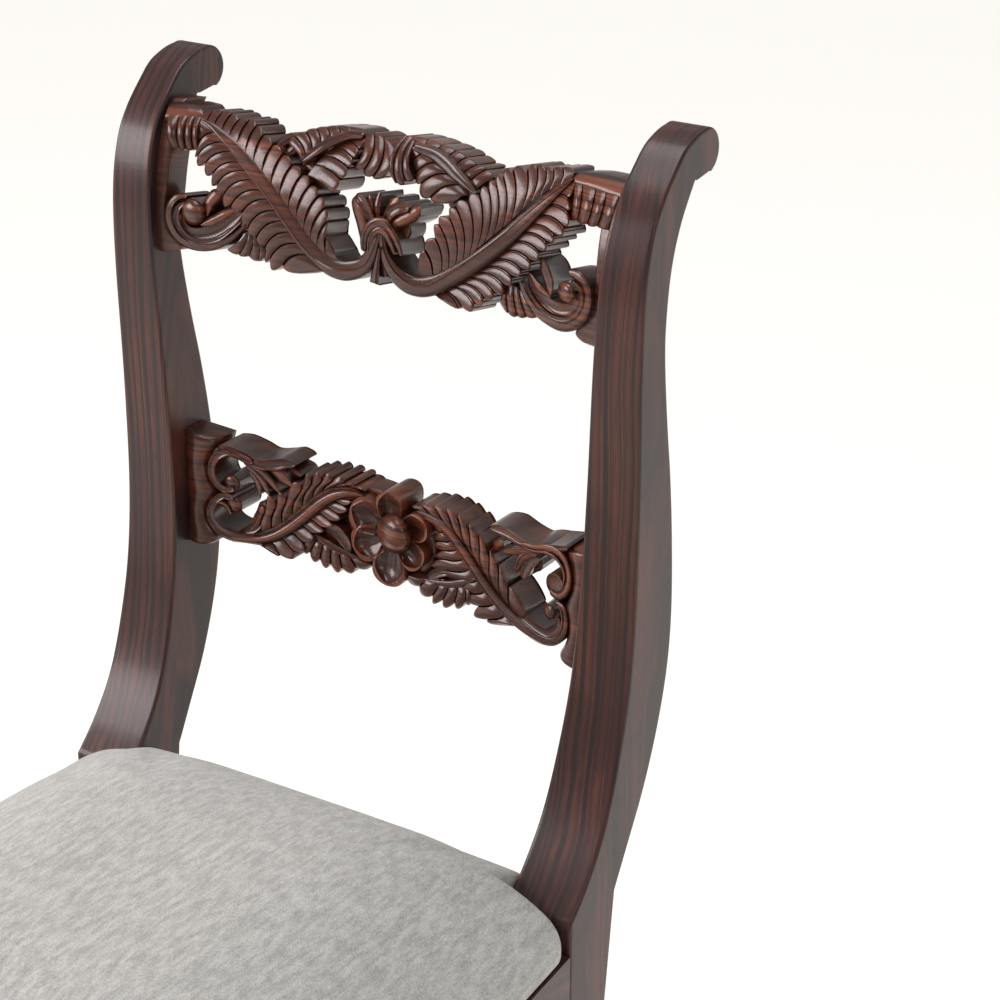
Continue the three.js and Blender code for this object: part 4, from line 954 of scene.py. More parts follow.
def lower_left(rail: CarvedRail) -> None:
    """Adds the two scrolls, the wing, the leaves between and the end block on the left of the lower rail."""
    upper = [(-114, 202), (-122, 206), (-131, 207.8), (-138.5, 204.5), (-142.8, 197.5), (-143.2, 190), (-139.8, 183.5),
             (-134, 180.2), (-127.5, 181.5)]
    lower = [(-106, 147), (-118, 147.2), (-129, 147.6), (-137.5, 150.8), (-143, 157.5), (-143.8, 165), (-140.2, 171.8),
             (-134.5, 175.5), (-128, 174.5)]
    wing = [(-139, 210), (-130, 209.4), (-120, 205.8), (-110, 202.2), (-99, 203), (-90, 205.6), (-82, 205.6)]
    rail.put(
        Band([(-98, 201), (-87, 201), (-77, 199)], (3.0, 4.6, 3.0), (-1.0, -1.0, -1.0), ROUND, 2.0),
        Band([(-113, 199), (-104, 193), (-96, 188)], (5.0, 7.5, 5.0), (0.5, 0.5, 0.5), ROUND, 2.0),
        Band([(-101, 199.5), (-92, 196.5), (-84.5, 190)], (2.6, 6.0, 3.0), (4.2, 5.0, 4.2), ROUND, 2.6,
             SHARP),
        Band([(-120, 202.5), (-112, 199), (-103, 193.5), (-94, 184)], (1.6, 2.6, 3.2, 1.6), (6.4, 6.8, 6.4, 5.0),
             ROOF, 2.6, SHARP_END, (0.4,)),
        Band([(-118, 199.5), (-111.5, 195), (-106, 189), (-101.5, 181)], (1.4, 2.6, 3.0, 1.4), (5.8, 6.2, 5.8, 4.4),
             ROOF, 2.6, SHARP_END, (0.4,)),
        Band([(-116, 196), (-111.5, 191), (-109, 186), (-108.5, 180)], (1.2, 2.2, 2.6, 1.2), (5.0, 5.4, 5.0, 4.0),
             ROOF, 2.4, SHARP_END, (0.4,)),
        Band([(-124, 150), (-114, 154.5), (-108, 163.5), (-105.5, 176)], (1.6, 3.8, 4.8, 2.4), (5.4, 5.8, 5.4, 4.4),
             DISH, 2.6, SHARP_START),
        Boss((-128.6, 185.4), 6.4, 0.6, 0.7),
        Boss((-127.0, 170.6), 6.2, 0.6, 0.7),
        Band([(-140.5, 168.5), (-136.5, 170.2), (-132, 167.6), (-129.4, 162.5)], (1.2, 2.0, 2.0, 1.0),
             (5.6, 6.0, 5.6, 4.6), ROUND, 2.4),
        Band(upper, (3.0, 3.2, 3.4, 3.2, 2.9, 2.7, 2.6, 2.6, 2.6), (7.2, 7.4, 7.4, 7.2, 7.0, 6.8, 6.6, 6.4, 6.2),
             DISH, 2.2, BLUNT, columns=80),
        Band(lower, (3.2, 3.4, 3.6, 3.5, 3.3, 3.0, 2.8, 2.7, 2.6), (7.0, 7.2, 7.2, 7.2, 7.0, 6.8, 6.6, 6.4, 6.2),
             DISH, 2.2, CUT_START, columns=80),
        Band(wing, (2.0, 3.2, 4.0, 3.8, 4.6, 4.2, 1.2), (7.6, 8.0, 7.8, 7.4, 7.2, 6.8, 5.6), DISH, 3.0,
             SHARP_END, columns=70),
    )
    edge = [(143, 139.4), (138.5, 143), (138.5, 148), (144, 157), (145.5, 166), (141, 175), (140.5, 179.5),
            (144, 186), (145.5, 196), (143, 205), (139, 211), (137.5, 216.5)]
    rail.put_cheek(Cheek(edge, rise=1.4, hand=-1.0, edge=3.6, slope=5.0, barrel=3.0))


def lower_right(rail: CarvedRail) -> None:
    """Adds the two scrolls, the wing, the leaves between and the end block on the right of the lower rail."""
    upper = [(98, 194.5), (108, 195), (118, 198), (127, 199), (134.5, 196), (139, 189), (139.8, 181), (137, 173.5),
             (131, 169.2), (124.5, 170.5)]
    rim = [(100, 192.2), (110, 192.6), (119, 194.8), (127, 194.4), (133, 190.6), (136, 184.5), (135.2, 177.5)]
    lower = [(99, 140), (110, 137), (121, 136), (131, 138.8), (137.6, 146), (138.8, 155), (136, 162.5), (130, 164)]
    inner = [(97, 147), (106, 144.4), (116, 141.8), (125, 141.4), (131.6, 146.2), (133.6, 152), (130.5, 156.5)]
    wing = [(138, 204), (128, 200.6), (118, 197.6), (108, 194.6), (97, 195.4), (86, 197.8), (78, 197.8), (71, 197)]
    rail.put(
        Band([(118, 186), (108, 184), (100, 176)], (4.0, 7.0, 6.0), (-1.5, -1.5, -1.5), ROUND, 2.0),
        Band([(114, 188.5), (108, 185), (103.5, 178.5), (101, 170)], (2.0, 4.0, 4.6, 2.0), (3.6, 4.2, 4.0, 3.0),
             DISH, 2.2, SHARP_END),
        Band([(112, 191), (104, 188), (98, 182), (95, 173)], (1.8, 3.0, 3.4, 1.6), (5.4, 5.8, 5.4, 4.2), ROOF,
             2.6, SHARP_END, (-0.4,)),
        Band([(114, 193), (102, 190.5), (92, 187), (83, 183)], (1.8, 2.8, 2.6, 1.2), (6.0, 6.4, 5.8, 4.4), ROOF,
             2.6, SHARP_END, (-0.4,)),
        Band([(84, 191), (78, 186), (76, 180)], (3.0, 4.0, 2.0), (-0.5, -0.5, -1.0), ROUND, 2.0),
        Boss((128.4, 176.2), 7.4, 5.6, -0.28),
        Boss((125.4, 156.8), 5.2, 2.4, 0.7),
        Band(inner, (2.6, 3.6, 3.8, 3.4, 2.8, 2.4, 1.6), (5.0, 5.4, 5.8, 6.0, 6.0, 5.8, 5.2), DISH, 2.2,
             SHARP_START, columns=70),
        Band(lower, (2.6, 2.8, 2.8, 3.0, 3.4, 3.4, 3.2, 2.4), (6.4, 6.8, 7.0, 7.2, 7.2, 7.0, 6.6, 6.0), ROOF,
             3.0, CUT_START, (0.6,), 80),
        Band(upper, (2.0, 2.6, 3.4, 4.0, 3.8, 3.4, 3.3, 3.2, 2.8, 2.0),
             (6.4, 7.0, 7.4, 7.4, 7.4, 7.2, 7.0, 6.8, 6.6, 6.2), ROUND, 3.0, SHARP_START, columns=80),
        Band(rim, (0.8, 1.3, 1.5, 1.5, 1.4, 1.3, 0.9), (6.8, 7.6, 8.0, 8.0, 7.8, 7.4, 6.8), ROUND, 2.4,
             SHARP, columns=60),
        Band(wing, (1.6, 2.4, 2.8, 2.8, 3.6, 4.6, 3.6, 1.2), (7.4, 7.6, 7.4, 7.2, 7.0, 6.8, 6.2, 5.2), DISH,
             3.0, SHARP_END, columns=70),
    )
    edge = [(146, 128.4), (139.5, 130.5), (137.8, 134.5), (140.5, 140), (142.8, 148), (142.6, 156), (139.6, 165.5),
            (141, 171), (143.8, 181), (142.6, 191), (139.8, 198), (138.5, 206)]
    rail.put_cheek(Cheek(edge, rise=1.4, hand=1.0, edge=3.6, slope=3.0, barrel=3.0))


def build_splat() -> bpy.types.Object:
    """Lays out and builds the lower back rail."""
    rail = CarvedRail("carved_lower_rail", "lower_back_rail", setback=16.0, bow=24.0, lean=1.0)
    lower_ferns(rail)
    lower_left(rail)
    lower_right(rail)
    for angle, radius in ((102, 29.5), (161, 36.5), (207, 35.5), (264, 37), (321, 28.5), (26, 28)):
        rail.put(Petal((-5.5, 171.8), float(angle), radius, 1.4))
    rail.put(Boss((-5.2, 172.2), 13.8, 4.0, 0.9))
    return rail.build()


# The places of a board's points on a flat side, as shares of its width.
SIDE_SHARES = np.array([0.03, 0.2, 0.4, 0.6, 0.8, 0.97])


@dataclass
class SawnBoard:
    """A curved leg or post sawn from one board: an outline in depth and height, and a width at each height."""

    front: Array
    back: Array
    edge: float
    thin: float = 0.42

    def surface(self, outer: Array, inner: Array) -> Surface:
        """Carries a rounded rectangle up the board, from its foot to its top.

        At each step the rectangle runs from the front outline to the back one. Its corners are quarter
        circles of the edge radius, set in along the outlines' own inward directions, and at most a share of
        the board's thickness where it is thin.

        Args:
            outer: the outer face's x at the front and back outlines, one row for each step.
            inner: the inner face's x at the same places.

        Returns:
            The closed surface.
        """
        thickness = np.linalg.norm(self.back - self.front, axis=1)
        radius = np.minimum(self.edge, self.thin * thickness)[:, None]
        into_front = self.inward(self.front, self.back - self.front)
        into_back = self.inward(self.back, self.front - self.back)
        turn = np.linspace(0.0, np.pi / 2, 5)
        corners = []
        for start, into, x_from, hand, angle in (
            (self.front, into_front, outer[:, 0], -1.0, turn),
            (self.back, into_back, outer[:, 1], -1.0, turn[::-1]),
            (self.back, into_back, inner[:, 1], 1.0, turn),
            (self.front, into_front, inner[:, 0], 1.0, turn[::-1]),
        ):
            x = x_from[:, None] + hand * radius * (1 - np.sin(angle))
            flat = start[:, None, :] + into[:, None, :] * (radius * (1 - np.cos(angle)))[:, :, None]
            corners.append(np.concatenate([x[:, :, None], flat], axis=2))
        loops = []
        for corner, following in zip(corners, corners[1:] + corners[:1]):
            first, last = corner[:, -1:, :], following[:, :1, :]
            loops += [corner, first + (last - first) * SIDE_SHARES[:, None]]
        ring = np.concatenate(loops, axis=1)
        return plain_surface(ring, tube_quads(*ring.shape[:2]))

    @staticmethod
    def inward(line: Array, towards: Array) -> Array:
        """Unit directions square to a line, on the side of another line, and straight at it where this one halts."""
        along = np.gradient(line, axis=0)
        pace = np.linalg.norm(along, axis=1)[:, None]
        square = np.stack([-along[:, 1], along[:, 0]], axis=1) / np.maximum(pace, 1e-9)
        side = np.sign(np.einsum("ij,ij->i", square, towards))
        straight = towards / np.maximum(np.linalg.norm(towards, axis=1), 1e-9)[:, None]
        return np.where(pace < 0.1, straight, square * np.where(side == 0, 1.0, side)[:, None])

    def build(self, name: str, node: str, hand: float, outer: Array, inner: Array) -> bpy.types.Object:
        """Makes the board's object on one side of the chair.

        Args:
            name: the object's name.
            node: the CAD node that it stands for.
            hand: -1 for the left side and 1 for the right.
            outer: the outer face's x on the right side, as for the surface.
            inner: the inner face's x there.

        Returns:
            The object.
        """
        surface = self.surface(outer, inner)
        return make_piece(name, surface.moved(surface.points * np.array([hand, 1.0, 1.0])), 50.0, node)


def leg_line(shares: list[Pair], face: float, travel: float) -> Array:
    """Draws the front or the back of a leg below the seat rails.

    Args:
        shares: points of the line, as shares of its travel and of the leg's length.
        face: the line's depth at the seat rails.
        travel: how far behind that it ends at the foot.

    Returns:
        Depth and height of each point.
    """
    along, down = np.array(shares).T
    return smooth_through(np.stack([face + travel * along, LEG_TOP - LEG * down], axis=1), 200)


@dataclass
class BackPost:
    """A back post with its leg: an upright block at the seat, an S curve above and a sabre leg below."""

    roll_centre: Pair = (148.0, 456.5)
    roll_radius: float = 14.5
    block_depth: float = 45.0
    foot_reach: float = 165.0
    foot_depth: float = 32.0

    def outlines(self) -> tuple[Array, Array]:
        """Works out the front and back outlines, step by step from the foot to the notch under the roll."""
        leg_front = leg_line(
            [(0, 0), (0.04, 0.17), (0.17, 0.37), (0.38, 0.58), (0.68, 0.8), (1, 1)], 0.0,
            self.foot_reach - self.foot_depth,
        )
        leg_back = leg_line(
            [(0, 0), (0.05, 0.16), (0.19, 0.38), (0.42, 0.62), (0.7, 0.82), (1, 1)], self.block_depth,
            self.foot_reach - self.block_depth,
        )
        rise_back = smooth_through(POST_BACK_SHARES * POST_RISE, 200)
        turn = np.radians(np.linspace(105, -68, 50))[:, None]
        roll = np.array(self.roll_centre) + self.roll_radius * np.concatenate([np.cos(turn), np.sin(turn)], axis=1)
        brow = np.array([*POST_FRONT_SHARES[-2:], (0.272, 0.9925), (0.306, 0.999), (0.335, 0.992)]) * POST_RISE
        over = np.concatenate([POST_FRONT[-1:], smooth_at(brow, np.linspace(1.05, 2.9, 12)), roll])
        pairs = (
            (leg_front[::-1], leg_back[::-1], 50),
            (np.array([[0.0, LEG_TOP], [0.0, 0.0]]), np.array([[self.block_depth, LEG_TOP], rise_back[0]]), 12),
            (POST_FRONT, rise_back, 110),
            (over, rise_back[-1:] + np.array([[0.0, 0.0], [0.4, 0.8]]), 46),
        )
        front = np.concatenate([evenly(line, count)[min(k, 1):] for k, (line, _, count) in enumerate(pairs)])
        back = np.concatenate([evenly(line, count)[min(k, 1):] for k, (_, line, count) in enumerate(pairs)])
        return front, back

    def build(self, name: str, hand: float) -> bpy.types.Object:
        """Builds the post on one side of the chair.

        Args:
            name: left or right.
            hand: -1 for the left side and 1 for the right.

        Returns:
            The post's object.
        """
        front, back = self.outlines()
        outer = np.full((len(front), 2), HALF_BACK)
        inner = outer - np.stack([post_width(front[:, 1]), post_width(back[:, 1])], axis=1)
        return SawnBoard(front, back, edge=1.9).build(f"{name}_post", f"post_{name}", hand, outer, inner)


@dataclass
class FrontLeg:
    """A front sabre leg under the seat's corner, following the splay of the seat's side."""

    width: float = 42.0
    depth: float = 42.0
    foot_width: float = 32.0
    foot_depth: float = 30.0
    foot_reach: float = 38.0

    def outline(self, shares: list[Pair], face: float, travel: float) -> Array:
        """Draws the leg's front or back, curved from its foot to the seat rails and upright beside them."""
        top = -RAIL_TOP_DROP
        upright = [[face, LEG_TOP + 2], [face, top - 2], [face, top]]
        return np.concatenate([evenly(leg_line(shares, face, travel), 60), upright])

    def build(self, name: str, hand: float) -> bpy.types.Object:
        """Builds the leg on one side of the chair.

        Args:
            name: left or right.
            hand: -1 for the left side and 1 for the right.

        Returns:
            The leg's object.
        """
        front = self.outline(
            [(1, 1), (0.38, 0.83), (0, 0.64), (-0.2, 0.42), (-0.16, 0.2), (0, 0)], -SEAT_DEPTH, -self.foot_reach,
        )
        back = self.outline(
            [(1, 1), (0.4, 0.81), (0.08, 0.62), (-0.08, 0.42), (-0.08, 0.2), (0, 0)], self.depth - SEAT_DEPTH,
            self.foot_depth - self.depth - self.foot_reach,
        )
        splay = (HALF_FRONT - HALF_BACK) / SEAT_DEPTH
        outer = HALF_BACK - splay * np.stack([front[:, 0], back[:, 0]], axis=1)
        down = np.clip((LEG_TOP - np.stack([front[:, 1], back[:, 1]], axis=1)) / LEG, 0.0, 1.0)
        inner = outer - (self.width + (self.foot_width - self.width) * down)
        board = SawnBoard(front, back, edge=1.7)
        return board.build(f"{name}_front_leg", f"front_leg_{name}", hand, outer, inner)


class Grain(Enum):
    """The way the grain runs, as the turn that brings it upright."""

    UP = (0.0, 0.0, 0.0)
    ACROSS = (0.0, math.pi / 2, 0.0)
    DEEP = (math.pi / 2, 0.0, 0.0)


class NodeBoard:
    """Places the nodes of one tree and joins them."""

    def __init__(self, tree: bpy.types.NodeTree) -> None:
        """Keeps the tree."""
        self.tree = tree

    def feed(self, node: bpy.types.Node, inputs: dict[str | int, object]) -> None:
        """Gives a node's inputs their values, or joins them to sockets, by name or number."""
        for name, value in inputs.items():
            if isinstance(value, Socket):
                self.tree.links.new(value, node.inputs[name])
            else:
                node.inputs[name].default_value = value

    def add(self, kind: str, settings: dict | None = None, **inputs: object) -> bpy.types.Node:
        """Places a node.

        Args:
            kind: the node's type, such as ShaderNodeMath.
            settings: values of the node's own settings.
            inputs: values or sockets for its inputs, by name, or in1 for number 1.

        Returns:
            The node.
        """
        node = self.tree.nodes.new(kind)
        for key, value in (settings or {}).items():
            setattr(node, key, value)
        self.feed(node, {int(key[2:]) if key[:2] == "in" else key: value for key, value in inputs.items()})
        return node

    def calc(self, operation: str, *terms: object) -> Socket:
        """A Math node's result."""
        node = self.add("ShaderNodeMath", {"operation": operation})
        self.feed(node, dict(enumerate(terms)))
        return node.outputs[0]

    def times(self, first: object, second: object, plus: object = 0.0) -> Socket:
        """A product, and a term that is added to it."""
        return self.calc("MULTIPLY_ADD", first, second, plus)

    def ramp(self, value: Socket, low: float, high: float) -> Socket:
        """A smooth step from 0 at low to 1 at high."""
        settings = {"interpolation_type": "SMOOTHSTEP"}
        return self.add("ShaderNodeMapRange", settings, in0=value, in1=low, in2=high).outputs[0]

    def mix(self, share: Socket, first: object, second: object) -> Socket:
        """A mix of two colours by a share."""
        first, second = ((*end, 1.0) if isinstance(end, tuple) else end for end in (first, second))
        return self.add("ShaderNodeMix", {"data_type": "RGBA"}, in0=share, in6=first, in7=second).outputs[2]

    def stretched(self, place: Socket, scale: Triple, turn: Triple = (0.0, 0.0, 0.0)) -> Socket:
        """A place scaled along each axis, and turned."""
        return self.add("ShaderNodeMapping", in0=place, in2=turn, in3=scale).outputs[0]

    def object_place(self, scale: Triple, turn: Triple = (0.0, 0.0, 0.0)) -> Socket:
        """The place on the object, scaled and turned."""
        return self.stretched(self.add("ShaderNodeTexCoord").outputs["Object"], scale, turn)

    def noise(
        self, place: Socket, detail: float = 2.0, roughness: float = 0.5, scale: float = 1.0, line: bool = False,
    ) -> Socket:
        """A noise in space, or along a line where the place is one number."""
        settings = {"noise_dimensions": "1D" if line else "3D"}
        node = self.add("ShaderNodeTexNoise", settings, Scale=scale, Detail=detail, Roughness=roughness)
        self.feed(node, {"W" if line else "Vector": place})
        return node.outputs[0]

    def bump(self, height: Socket, strength: float, distance: float) -> Socket:
        """A normal for a height, at a distance in metres."""
        return self.add("ShaderNodeBump", Strength=strength, Distance=distance, Height=height).outputs[0]


def new_group(
    name: str, inputs: dict[str, object], outputs: tuple[str, ...],
) -> tuple[NodeBoard, bpy.types.bpy_prop_collection]:
    """Makes a shader group with named sockets: numbers with their defaults or a vector in, numbers out.

    Args:
        name: the group's name.
        inputs: the inputs' names and defaults, None for a vector.
        outputs: the outputs' names.

    Returns:
        The group's board and the sockets that its inputs arrive at.
    """
    tree = bpy.data.node_groups.new(name, "ShaderNodeTree")
    for key, value in inputs.items():
        kind = "NodeSocketVector" if value is None else "NodeSocketFloat"
        socket = tree.interface.new_socket(key, in_out="INPUT", socket_type=kind)
        if value is not None:
            socket.default_value = value
    for key in outputs:
        tree.interface.new_socket(key, in_out="OUTPUT", socket_type="NodeSocketFloat")
    board = NodeBoard(tree)
    return board, board.add("NodeGroupInput").outputs


def figure_group() -> bpy.types.NodeTree:
    """The figure of rosewood with upright grain: dark stripes of uneven width, a broad drift and fine pores."""
    sockets = {"Vector": None, "Pitch": 5.0, "Waver": 6.0, "Seed": 0.0}
    board, source = new_group("rosewood_figure", sockets, ("Stripe", "Drift", "Pore"))
    slow = board.stretched(source["Vector"], (0.016, 0.016, 0.0032))
    axes = board.add("ShaderNodeSeparateXYZ", in0=source["Vector"]).outputs
    pushed = board.times(board.noise(slow), source["Waver"], board.times(axes[1], 0.16, axes[0]))
    place = board.calc("DIVIDE", board.calc("ADD", pushed, source["Seed"]), source["Pitch"])
    wide = board.ramp(board.noise(place, line=True), 0.4, 0.58)
    fine = board.ramp(board.noise(board.times(place, 2.7), line=True), 0.3, 0.52)
    stripe = board.times(wide, board.times(fine, 0.5, 0.5))
    drift = board.noise(slow, detail=3.0, scale=2.6)
    pore = board.ramp(board.noise(board.stretched(source["Vector"], (2.4, 2.4, 0.055))), 0.52, 0.7)
    board.add("NodeGroupOutput", in0=stripe, in1=drift, in2=pore)
    return board.tree


def weave_group() -> bpy.types.NodeTree:
    """A fine twill over uneven yarns and a mottle. Height counts as run and depth, so that no side smears."""
    board, source = new_group("twill_weave", {"Vector": None, "Pitch": 1.5}, ("Rib", "Yarn", "Mottle"))
    axes = board.add("ShaderNodeSeparateXYZ", in0=source["Vector"]).outputs
    warp, weft = (board.calc("ADD", axes[k], axes[2]) for k in (0, 1))
    flat = board.add("ShaderNodeCombineXYZ", in0=warp, in1=weft).outputs[0]
    diagonal = board.times(board.noise(flat, scale=0.45), 1.6, board.times(weft, 0.55, warp))
    turn = board.times(board.calc("DIVIDE", diagonal, source["Pitch"]), 2 * math.pi)
    rib = board.times(board.calc("SINE", turn), 0.5, 0.5)
    yarn = board.noise(board.stretched(source["Vector"], (0.95, 0.7, 0.95)), detail=3.0, roughness=0.7)
    mottle = board.noise(board.stretched(source["Vector"], (0.24, 0.07, 0.24)), detail=5.0, roughness=0.68)
    board.add("NodeGroupOutput", in0=rib, in1=yarn, in2=mottle)
    return board.tree


def new_material(name: str) -> tuple[bpy.types.Material, NodeBoard, bpy.types.Node]:
    """Makes a material with one plain shader, and gives back its board and its shader node too."""
    material = bpy.data.materials.new(name)
    material.use_nodes = True
    board = NodeBoard(material.node_tree)
    return material, board, material.node_tree.nodes["Principled BSDF"]


@dataclass(frozen=True)
class RosewoodFinish:
    """Lacquered rosewood: the colours of its stripes, its grain's way and the lacquer's gloss."""

    name: str
    grain: Grain
    dark: Triple
    red: Triple
    pale: Triple
    pitch: float
    waver: float
    seed: float
    roughness: float
    coat: float
    contrast: float = 1.0
    gloss: float = 0.34
    # A carved piece is given painted shade in its hollows and painted highlights on its crests; the colour after this
    # is that of the painted shade.
    carved: bool = False
    painted_shade_colour: Triple = (0.014, 0.0075, 0.0055)

    def material(self, figure: bpy.types.NodeTree) -> bpy.types.Material:
        """Builds the material on the group that draws the wood's figure; a carved one is given painted shade in its
        hollows and painted highlights on its crests.
        """
        material, board, shader = new_material(self.name)
        place = board.object_place(IN_MM, self.grain.value)
        sockets = {"Vector": place, "Pitch": self.pitch, "Waver": self.waver, "Seed": self.seed}
        drawn = board.add("ShaderNodeGroup", {"node_tree": figure}, **sockets).outputs
        stripe, pore = drawn["Stripe"], drawn["Pore"]
        colour = board.mix(board.times(stripe, self.contrast, 0.6 * (1 - self.contrast)), self.dark, self.red)
        light = board.times(board.ramp(drawn["Drift"], 0.42, 0.66), stripe)
        colour = board.mix(board.times(light, 0.75), colour, self.pale)
        colour = board.mix(board.times(pore, 0.5), colour, self.dark)
        if self.carved:
            # Painted light on carved wood: low levels darken the colour towards the painted shade colour, high levels
            # lighten it towards the pale colour as painted highlights.
            tone = board.add("ShaderNodeAttribute", {"attribute_name": "tone"}).outputs["Fac"]
            colour = board.mix(board.times(board.ramp(tone, 0.34, 0.02), 0.7), colour, self.painted_shade_colour)
            colour = board.mix(board.times(board.ramp(tone, 0.55, 0.95), 0.5), colour, self.pale)
        shader.inputs["Base Color"].default_value = (*self.red, 1.0)
        board.feed(shader, {
            "Base Color": colour, "Roughness": board.times(pore, 0.12, self.roughness),
            "Normal": board.bump(board.times(pore, -1.0), 0.12, 0.0002),
            "Coat Weight": self.coat, "Coat Roughness": 0.14, "Specular IOR Level": self.gloss,
        })
        return material


@dataclass(frozen=True)
class ClothFinish:
    """A soft upholstery cloth: its pale and dark yarns and the size of its twill."""

    name: str
    pale: Triple
    dark: Triple
    pitch: float

    def material(self, weave: bpy.types.NodeTree) -> bpy.types.Material:
        """Builds the material on the group that draws the twill."""
        material, board, shader = new_material(self.name)
        place = board.object_place(IN_MM)
        drawn = board.add("ShaderNodeGroup", {"node_tree": weave}, Vector=place, Pitch=self.pitch).outputs
        shade = board.times(board.ramp(drawn["Yarn"], 0.32, 0.68), 0.44)
        shade = board.times(board.ramp(drawn["Mottle"], 0.3, 0.7), 0.5, shade)
        shade = board.times(drawn["Rib"], 0.06, shade)
        height = board.times(drawn["Yarn"], 0.8, board.times(drawn["Rib"], 0.12))
        board.feed(shader, {
            "Base Color": board.mix(shade, self.dark, self.pale), "Normal": board.bump(height, 0.5, 0.0005),
            "Roughness": 0.92, "Sheen Weight": 0.25, "Sheen Roughness": 0.5, "Specular IOR Level": 0.2,
        })
        return material


@dataclass(frozen=True)
class PlainFinish:
    """A hidden part's finish: two colours mixed by a noise, which also moves its roughness and its bump."""

    name: str
    first: Triple
    second: Triple
    stretch: Triple
    roughness: float
    metallic: float = 0.0

    def material(self) -> bpy.types.Material:
        """Builds the material."""
        material, board, shader = new_material(self.name)
        noise = board.noise(board.object_place(self.stretch), detail=4.0, roughness=0.6)
        share = board.ramp(noise, 0.3, 0.7)
        board.feed(shader, {
            "Base Color": board.mix(share, self.first, self.second), "Normal": board.bump(noise, 0.3, 0.0002),
            "Roughness": board.times(share, 0.12, self.roughness), "Metallic": self.metallic,
        })
        return material


def read_points(mesh: bpy.types.Mesh) -> Array:
    """Reads the places of a mesh's points, one row each."""
    places = np.empty(len(mesh.vertices) * 3)
    mesh.vertices.foreach_get("co", places)
    return places.reshape(-1, 3)


